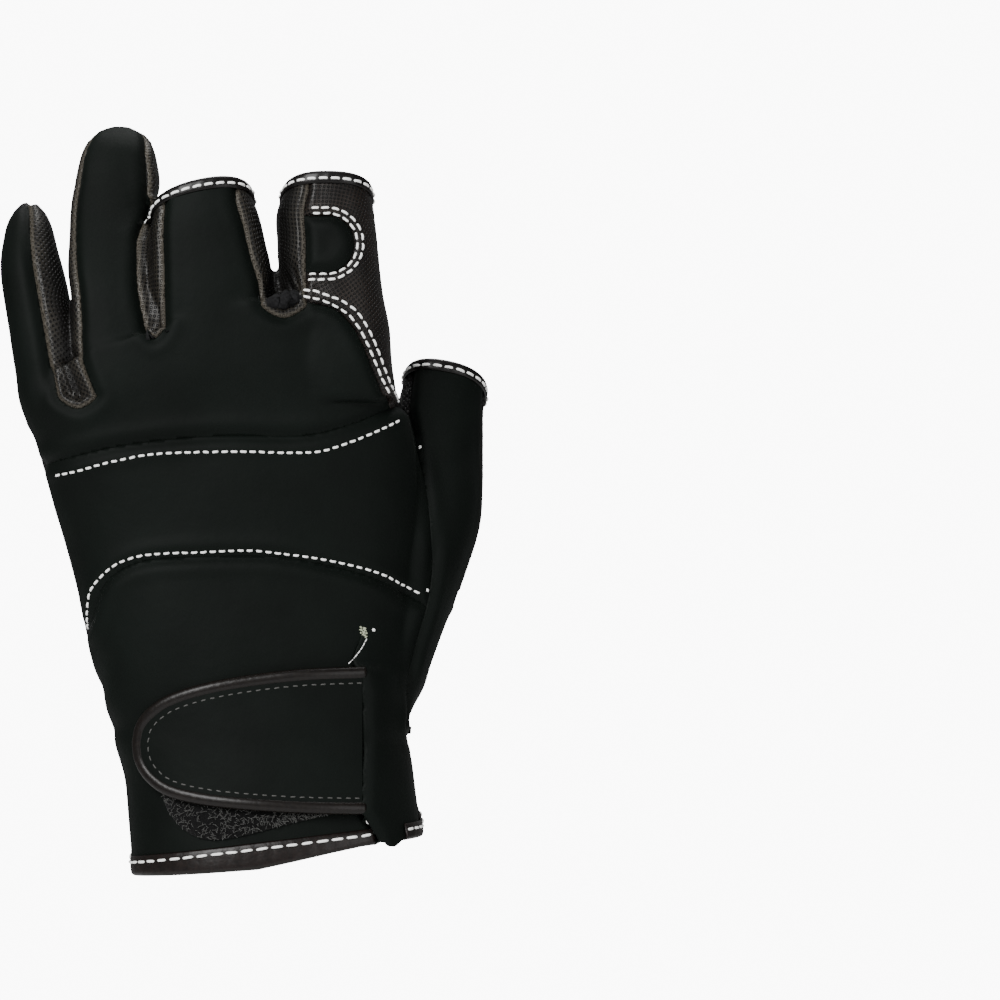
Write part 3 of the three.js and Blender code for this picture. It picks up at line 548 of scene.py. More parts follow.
index = fingers["index"]
indexTop = index["root"] + index["length"]
window = {"height": 15.5, "reach": 13.5, "drop": 6.5, "gap": 0.5, "tuck": 4.0}
leather = {"tuck": 11.0, "beyond": 30.0}  # how far it runs on at the left and the top, before it is cut
windowAngle = math.radians(gussets["gussetMiddleIndex"]["back"][1])
windowLeft = index["across"] + index["width"] / 2 * boxy(math.cos(windowAngle)) - window["gap"]
windowMiddle = indexTop - window["drop"] - window["height"] / 2


def windowOutline(offset=0.0):
    half = window["height"] / 2
    straight = window["reach"] - half
    turns = np.radians(np.linspace(-90, 90, 25))
    arc = np.column_stack([
        windowLeft + straight + (half + offset) * np.cos(turns),
        windowMiddle + (half + offset) * np.sin(turns)])
    left = windowLeft - window["tuck"]
    return np.vstack([[left, arc[0, 1]], arc, [left, arc[-1, 1]]])


def leatherOutline():
    sweep = smoothCurve(leatherSweep, 6)
    left = windowLeft - leather["tuck"]
    top = indexTop + leather["beyond"]
    return np.vstack([[left, top], [left, sweep[0, 1]], sweep, [farRight, sweep[-1, 1]], [farRight, top]])


# how far to the left and the right of a limb its hem's cut still reaches: 1 is the limb's own outline
hemSpread = {"thumb": (4.0, 4.0), "palm": (4.0, 4.0), "middle": (1.32, 2.2), "index": (2.2, 2.2)}
farAway = 25.0


# Below zero beyond the hem of a limb, and far above zero away from that limb
def hemField(sections, atEnd, spread):
    section = sections[-1] if atEnd else sections[0]

    def field(points):
        dx, dy = points[:, 0] - section[0], points[:, 1] - section[1]
        height = points[:, 2] - section[2] - climb(section, dx, dy)
        value = -height if atEnd else height
        power = glove["squareness"]
        limit = np.where(dx < 0, *spread)
        away = np.abs(dx / section[3]) ** power + np.abs(dy / section[4]) ** power > limit
        return np.where(away | (value > farAway), farAway, value)

    return field


# The slit from the hem up to the bar tack: height, how far across, and how far its flap stands off there
slitRows = np.array([
    (-14.0, 37.5, 0.8), (-4.6, 29.7, 1.4), (1.0, 25.6, 3.0), (5.5, 22.4, 4.6), (20.0, 22.8, 5.0),
    (38.0, 22.6, 5.0), (43.0, 21.9, 4.2), (46.0, 20.8, 1.6), (50.0, 22.3, 0.6), (54.5, 24.3, 0.0)])
slitTop = slitRows[-1, 0]
flap = {"spread": 9.5, "edge": 1.5, "roll": 0.24}
lobe = {"across": 31.2, "long": 1.9, "wide": 2.0, "from": -4.0, "to": 1.5}  # lowest corner of the flap
underlap = {"reach": 9.0, "deep": 2.0, "over": 2.5}


def slitAcross(height):
    return np.interp(height, slitRows[:, 0], slitRows[:, 1])


# Cutting the skin into panels

shortestEdge = 0.07
openFingers = ("middle", "index", "thumb")
labels = ["waste", "front", "rear", "backPanel", "knuckleBand", "wristPanel", "thumbPanel", "indexOverlay",
          "indexWindow", "palmPanel", "thenarPanel", *gussets]


def gradient(field, points):
    small = 0.05  # mm
    return np.column_stack([
        (field(points + offset) - field(points - offset)) / (2 * small) for offset in np.eye(3) * small])


# The vertices or edges of faces, each once and always in the same order
def partsOf(faces, kind):
    return list(dict.fromkeys(part for face in faces for part in getattr(face, kind)))


def labelled(skin, tag, name):
    return [face for face in skin.faces if face[tag] == labels.index(name)]


# Faces labelled wanted are split where the field is 0, and those below 0 are labelled made
def cutAlong(skin, tag, wanted, made, field):
    faces = labelled(skin, tag, wanted)
    vertices = partsOf(faces, "verts")
    points = np.array([vertex.co for vertex in vertices]) / mm
    value = field(points)
    close = np.flatnonzero(np.abs(value) < 3 * glove["voxel"])  # only these can lie on the seam
    if len(close):
        slope = gradient(field, points[close])
        steep = np.maximum((slope ** 2).sum(1), 1e-6)
        normals = np.array([vertices[k].normal for k in close])
        distance = np.abs(value[close]) / np.sqrt(steep)
        near = distance < 0.3 * glove["voxel"]  # these are moved onto it, so that no sliver is left
        move = -slope * (value[close] / steep)[:, None]
        move -= normals * (move * normals).sum(1)[:, None]
        for k, offset in zip(close[near], move[near]):
            vertices[k].co += Vector(offset * mm)
            value[k] = 0.0
    valueOf = dict(zip(vertices, value))
    seam = [vertex for vertex, amount in valueOf.items() if amount == 0.0]
    for edge in partsOf(faces, "edges"):
        first, second = edge.verts
        a, b = valueOf[first], valueOf[second]
        if a * b < 0:
            _, middle = bmesh.utils.edge_split(edge, first, a / (a - b))
            valueOf[middle] = 0.0
            seam.append(middle)
    bmesh.ops.connect_verts(skin, verts=seam)
    for face in labelled(skin, tag, wanted):
        if sum(valueOf.get(vertex, 0.0) for vertex in face.verts) < 0:
            face[tag] = labels.index(made)


def cutPanels(form):
    skin = bmesh.new()
    skin.from_mesh(form.data)
    tag = skin.faces.layers.int.new("panel")
    for face in skin.faces:
        face[tag] = labels.index("front")
    for name in openFingers:
        cutAlong(skin, tag, "front", "waste", hemField(fingerSections(fingers[name]), True, hemSpread[name]))
    cutAlong(skin, tag, "front", "waste", hemField(palmSections(), False, hemSpread["palm"]))
    bmesh.ops.delete(skin, geom=labelled(skin, tag, "waste"), context="FACES")
    cutAlong(skin, tag, "front", "rear", lambda points: -sideField(points))
    for name, gusset in gussets.items():
        cutAlong(skin, tag, "front", name, gussetField(gusset, 0))
        cutAlong(skin, tag, "rear", name, gussetField(gusset, 1))
    thumbRest = [[farRight, thumbSeam[-1, 1]], [farRight, thumbSeam[0, 1]]]
    thumbSide = np.vstack([smoothCurve(thumbSeam, 6), thumbRest])
    cutAlong(skin, tag, "front", "thumbPanel", outlineField(thumbSide))
    cutAlong(skin, tag, "rear", "thumbPanel", outlineField(wristWrap))
    thenarArea = np.vstack([smoothCurve(thenarSeam, 6), thenarRest])
    cutAlong(skin, tag, "rear", "thenarPanel", outlineField(thenarArea))
    aboveBand = heightField(bandTop)
    cutAlong(skin, tag, "front", "backPanel", lambda points: -aboveBand(points))
    cutAlong(skin, tag, "backPanel", "indexOverlay", outlineField(leatherOutline()))
    cutAlong(skin, tag, "indexOverlay", "indexWindow", outlineField(windowOutline()))
    cutAlong(skin, tag, "front", "wristPanel", heightField(bandBottom))
    for rest, name in (("front", "knuckleBand"), ("rear", "palmPanel")):
        for face in labelled(skin, tag, rest):
            face[tag] = labels.index(name)
    bmesh.ops.dissolve_degenerate(skin, dist=shortestEdge * mm, edges=skin.edges)
    splitSlit(skin, tag)
    return skin, tag


# How far the flap beside the slit stands off the wrist; its edge is rolled in a little
def flapLift(points):
    aside = points[:, 0] - slitAcross(points[:, 2])
    height = np.interp(points[:, 2], slitRows[:, 0], slitRows[:, 2])
    rolled = flap["roll"] * np.exp(-(aside / flap["edge"]) ** 2)
    lift = height * (np.exp(-(aside / flap["spread"]) ** 2) - rolled)
    return np.where((aside > -0.01) & (points[:, 2] < slitTop), lift, 0)


# The wrist panel is cut open from the hem up to the bar tack; its cloth goes on under the lifted flap
def splitSlit(skin, tag):
    waste, wrist = labels.index("waste"), labels.index("wristPanel")
    cutAlong(skin, tag, "wristPanel", "waste", lambda points: points[:, 0] - slitAcross(points[:, 2]))
    opened = []
    for edge in skin.edges:
        height = (edge.verts[0].co.z + edge.verts[1].co.z) / 2 / mm
        if {face[tag] for face in edge.link_faces} == {waste, wrist} and height < slitTop:
            opened.append(edge)
    bmesh.ops.split_edges(skin, edges=opened)
    lifted = partsOf(labelled(skin, tag, "wristPanel"), "verts")
    rest = partsOf(labelled(skin, tag, "waste"), "verts")
    covered = []
    for face in labelled(skin, tag, "wristPanel"):
        centre = face.calc_center_median() / mm
        if centre.z < slitTop - 1 and centre.x - slitAcross(centre.z) < underlap["reach"]:
            covered.append(face)
    copied = bmesh.ops.duplicate(skin, geom=covered)["geom"]
    under = [item for item in copied if isinstance(item, bmesh.types.BMVert)]
    skin.normal_update()
    places = np.array([vertex.co for vertex in under]) / mm
    sunk = underlap["deep"] * step(places[:, 0] - slitAcross(places[:, 2]), 0.0, underlap["over"])
    for vertex, amount in zip(under, sunk):
        vertex.co -= vertex.normal * float(amount) * mm
    places = np.array([vertex.co for vertex in lifted]) / mm
    drops = lobe["long"] * np.exp(-((places[:, 0] - lobe["across"]) / lobe["wide"]) ** 2)
    drops *= step(-places[:, 2], lobe["from"], lobe["to"])
    for vertex, amount, drop in zip(lifted, flapLift(places), drops):
        vertex.co += vertex.normal * float(amount) * mm
        vertex.co.z -= float(drop) * mm
    bmesh.ops.remove_doubles(skin, verts=under + rest, dist=0.002 * mm)
    for face in labelled(skin, tag, "waste"):
        face[tag] = wrist


form = handForm()
pressFolds(form)
formTree = bvhtree.BVHTree.FromObject(form, bpy.context.evaluated_depsgraph_get())
skin, tag = cutPanels(form)
print("panels cut", len(skin.faces))


# Point and normal in mm where a ray first meets a surface
def castOn(tree, origin, direction):
    place, normal, *_ = tree.ray_cast(Vector(np.asarray(origin) * mm), Vector(direction))
    return (None, None) if place is None else (np.array(place) / mm, np.array(normal))


# Materials

# sRGB hex to linear
def colour(text):
    channels = [int(text[k:k + 2], 16) / 255 for k in (1, 3, 5)]
    linear = [c / 12.92 if c <= 0.04045 else ((c + 0.055) / 1.055) ** 2.4 for c in channels]
    return (*linear, 1.0)


# Each input is a value or the output socket that feeds it
def setInputs(node, **inputs):
    for key, value in inputs.items():
        socket = node.inputs[int(key[1:])] if key[1:].isdigit() else node.inputs[key.replace("_", " ")]
        if isinstance(value, bpy.types.NodeSocket):
            node.id_data.links.new(value, socket)
        else:
            socket.default_value = value


# A shader node with its settings and inputs, and with the stops of its ramp if it has one
def addNode(tree, kind, settings=None, stops=(), **inputs):
    node = tree.nodes.new("ShaderNode" + kind)
    for key, value in (settings or {}).items():
        setattr(node, key, value)
    for k, (place, tone) in enumerate(stops):
        element = node.color_ramp.elements[k] if k < 2 else node.color_ramp.elements.new(place)
        element.position = place
        element.color = colour(tone)
    setInputs(node, **inputs)
    return node


def newMaterial(name):
    material = bpy.data.materials.new(name)
    material.use_nodes = True
    tree = material.node_tree
    return material, tree, tree.nodes["Principled BSDF"]


# Foamed rubber sheet with a smooth knitted face: nearly black, very soft highlights
def neopreneMaterial():
    material, tree, shader = newMaterial("neoprene with jersey face")
    place = addNode(tree, "TexCoord").outputs["Object"]
    cloudy = addNode(tree, "TexNoise", Vector=place, Scale=45.0, Detail=3.0).outputs["Fac"]
    tone = addNode(tree, "ValToRGB", stops=[(0.3, "#040705"), (0.7, "#070c09")], Fac=cloudy)
    knit = addNode(tree, "TexNoise", Vector=place, Scale=3200.0, Detail=2.0).outputs["Fac"]
    soft = addNode(tree, "TexNoise", Vector=place, Scale=240.0, Detail=3.0).outputs["Fac"]
    fine = addNode(tree, "Bump", Height=knit, Strength=0.25, Distance=0.00008)
    bump = addNode(tree, "Bump", Height=soft, Strength=0.35, Distance=0.0004, Normal=fine.outputs[0])
    setInputs(
        shader, Base_Color=tone.outputs[0], Normal=bump.outputs[0], Roughness=0.62, Specular_IOR_Level=0.08,
        Sheen_Weight=0.02, Sheen_Roughness=0.5, Sheen_Tint=colour("#9aa39c"))
    return material


# Synthetic leather with rows of small punched dimples; the grain between them is finer. Given a seam colour,
# it also gets a painted highlight along its seams and painted shade away from them
def punchedMaterial(name, dark, light, pitch, paintedSeamHighlight=None):
    material, tree, shader = newMaterial(name)
    flat = addNode(tree, "UVMap", {"uv_map": "cloth"}).outputs["UV"]
    cell = pitch / math.sqrt(2)
    turned = addNode(
        tree, "Mapping", Vector=flat, Rotation=(0, 0, math.pi / 4), Scale=(1 / cell, 1 / cell, 1))
    dots = addNode(
        tree, "TexVoronoi", {"voronoi_dimensions": "2D"}, Vector=turned.outputs["Vector"], Scale=1.0,
        Randomness=0.0).outputs["Distance"]
    hole = addNode(tree, "ValToRGB", stops=[(0.2, "#000000"), (0.36, "#ffffff")], Fac=dots).outputs[0]
    place = addNode(tree, "TexCoord").outputs["Object"]
    grain = addNode(tree, "TexNoise", Vector=place, Scale=1500.0, Detail=4.0).outputs["Fac"]
    worn = addNode(tree, "TexNoise", Vector=place, Scale=130.0, Detail=3.0).outputs["Fac"]
    tone = addNode(tree, "ValToRGB", stops=[(0.35, dark), (0.7, light)], Fac=worn).outputs[0]
    mixing = {"data_type": "RGBA"}
    base = addNode(tree, "Mix", mixing, _0=hole, _6=colour("#070707"), _7=tone).outputs[2]
    if paintedSeamHighlight:
        # painted highlight: pale within 1 mm of the seam; painted shade: darker from 2.4 mm on, where the
        # cloth sinks in and turns away from the light
        away = addNode(tree, "Attribute", {"attribute_name": "seamDistance"}).outputs["Fac"]
        scaled = addNode(tree, "MapRange", Value=away, From_Max=6.0).outputs[0]
        rim = addNode(tree, "ValToRGB", stops=[(0.1, "#ffffff"), (0.18, "#000000")], Fac=scaled).outputs[0]
        deep = addNode(tree, "ValToRGB", stops=[(0.4, "#000000"), (0.8, "#ffffff")], Fac=scaled).outputs[0]
        base = addNode(tree, "Mix", mixing, _0=deep, _6=base, _7=colour("#0b0a09")).outputs[2]
        base = addNode(tree, "Mix", mixing, _0=rim, _6=base, _7=colour(paintedSeamHighlight)).outputs[2]
    fine = addNode(tree, "Bump", Height=grain, Strength=0.35, Distance=0.0002)
    pits = addNode(tree, "Bump", Height=hole, Strength=1.0, Distance=0.0007, Normal=fine.outputs[0])
    setInputs(shader, Base_Color=base, Normal=pits.outputs[0], Roughness=0.42, Specular_IOR_Level=0.22)
    return material


# Folded strip of smooth coated cloth with a long soft highlight
def tapeMaterial(name, dark, light):
    material, tree, shader = newMaterial(name)
    place = addNode(tree, "TexCoord").outputs["Object"]
    grain = addNode(tree, "TexNoise", Vector=place, Scale=900.0, Detail=3.0).outputs["Fac"]
    tone = addNode(tree, "ValToRGB", stops=[(0.3, dark), (0.75, light)], Fac=grain).outputs[0]
    bump = addNode(tree, "Bump", Height=grain, Strength=0.4, Distance=0.0002).outputs[0]
    setInputs(shader, Base_Color=tone, Normal=bump, Roughness=0.36, Specular_IOR_Level=0.22)
    return material


# Twisted polyester sewing thread, matt with a light sheen
def threadMaterial(name, tone):
    material, tree, shader = newMaterial(name)
    setInputs(shader, Base_Color=colour(tone), Roughness=0.6, Sheen_Weight=0.2)
    return material


# Hook-and-loop tape, loop side: matt black pile
def loopMaterial():
    material, tree, shader = newMaterial("loop tape")
    place = addNode(tree, "TexCoord").outputs["Object"]
    pile = addNode(tree, "TexNoise", Vector=place, Scale=1400.0, Detail=5.0, Roughness=0.8).outputs["Fac"]
    tone = addNode(tree, "ValToRGB", stops=[(0.35, "#040404"), (0.75, "#0f0f0f")], Fac=pile).outputs[0]
    bump = addNode(tree, "Bump", Height=pile, Strength=1.0, Distance=0.0008).outputs[0]
    setInputs(
        shader, Base_Color=tone, Normal=bump, Roughness=0.95, Specular_IOR_Level=0.08, Sheen_Weight=0.05)
    return material


# Thin knitted lining glued to the inside of the sheet
def liningMaterial():
    material, tree, shader = newMaterial("knitted lining")
    place = addNode(tree, "TexCoord").outputs["Object"]
    ribs = addNode(tree, "TexNoise", Vector=place, Scale=1100.0, Detail=2.0).outputs["Fac"]
    tone = addNode(tree, "ValToRGB", stops=[(0.35, "#0b0b0c"), (0.7, "#1b1b1c")], Fac=ribs).outputs[0]
    setInputs(shader, Base_Color=tone, Roughness=0.9, Specular_IOR_Level=0.15)
    return material


neoprene = neopreneMaterial()
palmLeather = punchedMaterial("punched synthetic leather", "#0b0a0a", "#131211", 1.6)
indexLeather = punchedMaterial("punched synthetic leather, brown", "#100c0a", "#1c1612", 1.5)
# the last colour is a painted highlight along the gusset seams; the material also paints shade away from them
gussetLeather = punchedMaterial("punched synthetic leather, paler", "#181613", "#292621", 1.65, "#3f3b34")
fingerTape = tapeMaterial("black binding tape", "#060505", "#0d0a09")
cuffTape = tapeMaterial("brown binding tape", "#0d0a09", "#191210")
pipingTape = tapeMaterial("brown-black piping", "#0a0706", "#120e0b")
thread = threadMaterial("white polyester thread", "#fbfbf8")
greyThread = threadMaterial("dark polyester thread", "#3b3a38")
tackThread = threadMaterial("greenish polyester thread", "#9aa088")
loopTape = loopMaterial()
loopYarn = threadMaterial("fine yarn of the loop tape", "#2c2c29")
lining = liningMaterial()


# Panels

# flat holds the two axes along which a panel's holes run
sheet = {"cover": neoprene, "slot": "neoprene"}
palmSheet = {"cover": palmLeather, "slot": "punched_leather", "flat": (0, 2)}
gussetSheet = {"cover": gussetLeather, "slot": "punched_leather", "flat": (1, 2)}
panels = {
    "backPanel": {"node": "back_panel", **sheet},
    "knuckleBand": {"node": "knuckle_band", **sheet},
    "wristPanel": {"node": "wrist_panel", **sheet},
    "thumbPanel": {"node": "thumb_panel", **sheet},
    "indexWindow": {"node": "index_window", **sheet},
    "indexOverlay": {"node": "index_overlay", **palmSheet, "cover": indexLeather},
    "palmPanel": {"node": "palm_panel", **palmSheet},
    "thenarPanel": {"node": "thenar_panel", **palmSheet},
    "gussetPinkyRing": {"node": "gusset_pinky_ring", **gussetSheet},
    "gussetRingMiddle": {"node": "gusset_ring_middle", **gussetSheet},
    "gussetMiddleIndex": {"node": "gusset_middle_index", **gussetSheet},
}
# the cloth dips at a seam and stands up a little beside it
seamValley = {
    "neoprene": {"deep": 0.95, "wide": 1.5, "shoulder": 0.3, "shoulderAt": 3.4, "shoulderWide": 1.9},
    "punched_leather": {"deep": 0.8, "wide": 0.85, "shoulder": 0.2, "shoulderAt": 1.7, "shoulderWide": 0.8},
}
# how the cloth of a gusset puckers, from its seams inwards and from its lower end upwards
pucker = {
    "deep": 1.5, "pleat": 1.1, "pitch": 2.9, "slant": 0.35, "inwards": (0.7, 3.2), "upwards": (3.0, 17.0)}
backMost = 5.0  # a gusset's cloth nearer to the back than this belongs to its end on the back
lap = 0.14  # how far neighbouring panels reach past their seam


# A vertex on a seam is moved a little into the next panel, so that no light comes through the seam
def seamLap(vertex, tag, wanted):
    beyond = [face.calc_center_median() for face in vertex.link_faces if face[tag] != wanted]
    if not beyond:
        return vertex.co
    aside = sum(beyond, Vector()) / len(beyond) - vertex.co
    aside -= vertex.normal * aside.dot(vertex.normal)
    return vertex.co + aside.normalized() * lap * mm


# Points, faces, outward normals and distance to the nearest seam of one panel
def extractPanel(skin, tag, name):
    wanted = labels.index(name)
    faces = labelled(skin, tag, name)
    order = {vertex: k for k, vertex in enumerate(partsOf(faces, "verts"))}
    points = np.array([seamLap(vertex, tag, wanted) for vertex in order]) / mm
    normals = np.array([vertex.normal for vertex in order])
    seams = {}
    for edge in partsOf(faces, "edges"):
        if len({other[tag] for other in edge.link_faces}) > 1:
            seams.update(dict.fromkeys(edge.verts))
    near = kdtree.KDTree(len(seams))
    for k, vertex in enumerate(seams):
        near.insert(vertex.co, k)
    near.balance()
    distance = np.array([near.find(vertex.co)[2] for vertex in order]) / mm
    corners = [tuple(order[vertex] for vertex in face.verts) for face in faces]
    return points, corners, normals, distance


# Cloth coordinates in mm, turned to run up the hand
def unwrapFlat(piece, axes):
    choose(piece)
    bpy.ops.object.mode_set(mode="EDIT")
    bpy.ops.mesh.select_all(action="SELECT")
    bpy.ops.uv.unwrap(method="MINIMUM_STRETCH", iterations=8, margin=0.0)
    bpy.ops.object.mode_set(mode="OBJECT")
    mesh = piece.data
    layer = mesh.uv_layers.active
    layer.name = "cloth"
    flat = readAll(layer.uv, "vector", float, 2).reshape(-1, 2)
    points, _ = meshArrays(mesh)
    target = points[readAll(mesh.loops, "vertex_index", int)][:, list(axes)]
    flat -= flat.mean(0)
    target = target - target.mean(0)
    turn, _, other = np.linalg.svd(flat.T @ target)
    # the sheet's scale comes from the areas of every seventh face
    polygons = (readAll(mesh.polygons, *kind)[::7] for kind in (
        ("loop_start", int), ("loop_total", int), ("area", float)))
    ratios = []
    for start, total, area in zip(*polygons):
        ring = flat[start:start + total]
        behind = np.roll(ring, -1, 0)
        inside = abs((ring[:, 0] * behind[:, 1] - ring[:, 1] * behind[:, 0]).sum()) / 2
        if inside > 1e-12:
            ratios.append(area / mm ** 2 / inside)
    flat = flat @ (turn @ other) * math.sqrt(np.median(ratios))
    layer.uv.foreach_set("vector", flat.ravel())


def finishPiece(piece, *covers, node=None, slot=None):
    for cover in covers:
        piece.data.materials.append(cover)
    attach(piece, "root")
    if node:
        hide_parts(node)


outerPoints, outerFaces = [], []


def makePanel(skin, tag, name, panel):
    points, corners, normals, distance = extractPanel(skin, tag, name)
    valley = seamValley[panel["slot"]]
    shift = -valley["deep"] * np.exp(-(distance / valley["wide"]) ** 2)
    shift += valley["shoulder"] * np.exp(-((distance - valley["shoulderAt"]) / valley["shoulderWide"]) ** 2)
    if name in gussets:
        x, y, z = points.T
        fade = 1 - step(z - np.where(y < backMost, *gussets[name]["ends"]), *pucker["upwards"])
        fold = 0.5 + 0.5 * np.cos(2 * np.pi * (x + pucker["slant"] * z) / pucker["pitch"])
        shift -= fade * step(distance, *pucker["inwards"]) * (pucker["deep"] + pucker["pleat"] * fold)
    points = points + normals * shift[:, None]
    start = len(outerPoints)
    outerPoints.extend(points * mm)
    outerFaces.extend(tuple(start + k for k in corner) for corner in corners)
    piece = makeMesh(name, points, corners)
    away = piece.data.attributes.new("seamDistance", "FLOAT", "POINT")
    away.data.foreach_set("value", distance)
    if "flat" in panel:
        unwrapFlat(piece, panel["flat"])
    finishPiece(piece, panel["cover"], lining, node=panel["node"], slot=panel["slot"])
    thickness = glove["sheet"] * mm
    addModifier(piece, "SOLIDIFY", thickness=thickness, offset=-1.0, material_offset=1, material_offset_rim=0)
    bpy.ops.object.shade_smooth()
    return piece


for name, panel in panels.items():
    piece = makePanel(skin, tag, name, panel)
    print(name, len(piece.data.polygons))
outerTree = bvhtree.BVHTree.FromPolygons([Vector(point) for point in outerPoints], outerFaces)


# Bindings

# Points and outward normals round a limb, a little way down from its hem
def hemRing(section, sides, depth, atEnd):
    axis = np.array([0.0, 0.0, 1.0 if atEnd else -1.0])
    centre = section[:3] - axis * depth
    places, normals = [], []
    for turn in anglesRound(sides) + 0.37 / sides * 2 * np.pi:  # turned a little, past the form's own edges
        x, y = math.cos(turn) * section[3], math.sin(turn) * section[4]
        direction = np.array([x, y, climb(section, x, y)])
        place, normal = castOn(formTree, centre, direction / np.linalg.norm(direction))
        places.append(place)
        normals.append(normal)
    return np.array(places), np.array(normals)


def smoothRing(values, times, closed=True):
    for _ in range(times):
        before, after = np.roll(values, 1, 0), np.roll(values, -1, 0)
        mixed = (before + 2 * values + after) / 4
        if not closed:
            mixed[0], mixed[-1] = values[0], values[-1]
        values = mixed
    return values


def unit(vectors):
    return vectors / np.linalg.norm(vectors, axis=-1, keepdims=True)


# A closed profile of (up, out) pairs carried along a path, pressed in by each stitch and stretched downwards
def sweepProfile(name, places, outward, upward, profile, closed=True, press=0.0, pitch=3.2, stretch=1.0):
    profile = np.array(profile, float)
    count, sides = len(places), len(profile)
    lengths = np.linalg.norm(np.roll(places, -1, 0) - places, axis=1)
    run = np.concatenate([[0], np.cumsum(lengths[:-1])])
    swell = 1 + press * np.cos(2 * np.pi * run / pitch)
    rise = profile[None, :, 0] * np.reshape(stretch, (-1, 1))
    rise = np.where(rise < 0, rise, profile[None, :, 0])
    points = (places[:, None, :] + upward[:, None, :] * rise[:, :, None]
              + outward[:, None, :] * profile[None, :, 1:] * swell[:, None, None])
    piece = makeMesh(name, points.reshape(-1, 3), tubeFaces(count, sides, closed=closed))
    turnOutwards(piece)
    return piece


# U section round an edge: height down both sides, bulging outwards
def foldedTape(height, bulge):
    inner = -1.85  # just inside the panel's cloth
    return smoothCurve([
        (-height, 0.12), (-height, 0.6 * bulge), (-0.8 * height, 0.9 * bulge), (-0.45 * height, bulge),
        (-0.1 * height, bulge), (0.35, 0.75 * bulge), (0.75, 0.1), (0.85, -0.7), (0.75, -1.4),
        (0.3, inner - 0.55), (-0.3 * height, inner - 0.75), (-0.8 * height, inner - 0.65),
        (-height, inner - 0.4), (-height, inner - 0.1), (0.1, inner - 0.1), (0.12, 0.05)], 2, closed=True)


# Path of a hem with the directions out of the cloth and up over its edge
def hemFrame(section, sides, height, atEnd):
    edge, out = hemRing(section, sides, 0.3, atEnd)
    low, _ = hemRing(section, sides, height + 1.5, atEnd)
    edge, low = smoothRing(edge, 2), smoothRing(low, 2)
    up = unit(smoothRing(unit(edge - low), 8))
    out = smoothRing(out, 8)
    return edge, unit(out - up * (out * up).sum(1)[:, None]), up


fingerHem = {"height": 2.5, "bulge": 0.62, "count": 144, "press": 0.08}
hemPaths = {}
for finger in openFingers:
    section = fingerSections(fingers[finger])[-1]
    edge, out, up = hemFrame(section, fingerHem["count"], fingerHem["height"], True)
    profile = foldedTape(fingerHem["height"], fingerHem["bulge"])
    piece = sweepProfile(finger + "Hem", edge, out, up, profile, press=fingerHem["press"])
    finishPiece(piece, fingerTape, node=finger + "_binding", slot="binding")
    hemPaths[finger + "Hem"] = (edge, out, up)

cuffHem = {"height": 3.3, "bulge": 0.75, "count": 300, "press": 0.05, "pitch": 4.1, "gapEnds": 34.0}
# the fold of the cuff's tape sags below the cloth on the back of the wrist: across, and how far
sagRows = np.array([(-38, 0.9), (-28, 1.6), (-4, 2.7), (16, 0.7), (24, 0.0)])
edge, out, up = hemFrame(palmSections()[0], cuffHem["count"], cuffHem["height"], False)
# the tape leaves out the flap beside the slit
bare = (edge[:, 1] < 0) & (edge[:, 0] > slitAcross(edge[:, 2]) - 0.5) & (edge[:, 0] < cuffHem["gapEnds"])
first = (np.flatnonzero(bare)[-1] + 1) % cuffHem["count"]
path = np.roll(np.arange(cuffHem["count"]), -first)[:cuffHem["count"] - bare.sum()]
edge, out, up = edge[path], out[path], up[path]
edge = edge + out * flapLift(edge)[:, None]
sewn = edge.copy()
sag = lineAt(sagRows, edge[:, 0]) * step(-edge[:, 1], -4.0, 6.0)
edge[:, 2] -= sag
piece = sweepProfile(
    "cuffHem", edge, out, up, foldedTape(cuffHem["height"], cuffHem["bulge"]), closed=False,
    press=cuffHem["press"], pitch=cuffHem["pitch"], stretch=1 + sag / cuffHem["height"])
finishPiece(piece, cuffTape, node="cuff_binding", slot="binding")
hemPaths["cuffHem"] = (sewn, out, up)
print("bindings")


# Closing tab over the wrist

tab = {
    "length": 60.0, "height": 39.0, "middle": 25.0, "end": 22.3, "low": 1.3, "thick": 2.3, "tuck": 1.6,
    "edging": 1.6, "columns": 120, "rows": 56}
tabNose = tab["end"] - tab["length"]
# along the tab from its nose, then its upper and lower edge as shares of its height
tabRows = np.array([
    (0.0, -0.02, -0.06), (0.015, 0.1, -0.16), (0.06, 0.2, -0.27), (0.15, 0.3, -0.37), (0.3, 0.38, -0.43),
    (0.5, 0.44, -0.465), (0.75, 0.485, -0.49), (1.0, 0.5, -0.5), (1.06, 0.5, -0.5)])


wristArea = {"across": (-48, 40), "heights": (-8, 66), "back": 8.0, "smoothing": 6}


# Depth of the back of the wrist as a smooth function of x and z, read off on a grid of 1 mm
def wristSurface():
    across, heights = np.arange(*wristArea["across"], 1.0), np.arange(*wristArea["heights"], 1.0)
    depth = np.full((len(heights), len(across)), np.nan)
    for row, z in enumerate(heights):
        for column, x in enumerate(across):
            place, _ = castOn(formTree, (x, -200, z), (0, 1, 0))
            if place is not None and place[1] < wristArea["back"]:
                depth[row, column] = place[1]
        good = np.flatnonzero(~np.isnan(depth[row]))
        depth[row] = np.interp(np.arange(len(across)), good, depth[row, good])
    for _ in range(wristArea["smoothing"]):
        depth[:, 1:-1] = (depth[:, :-2] + 2 * depth[:, 1:-1] + depth[:, 2:]) / 4
        depth[1:-1] = (depth[:-2] + 2 * depth[1:-1] + depth[2:]) / 4

    def at(x, z):
        column = np.clip((x - across[0]), 0, len(across) - 1.001)
        row = np.clip((z - heights[0]), 0, len(heights) - 1.001)
        i, j = row.astype(int), column.astype(int)
        u, v = row - i, column - j
        return ((1 - u) * ((1 - v) * depth[i, j] + v * depth[i, j + 1])
                + u * ((1 - v) * depth[i + 1, j] + v * depth[i + 1, j + 1]))

    return at


wristDepthAt = wristSurface()


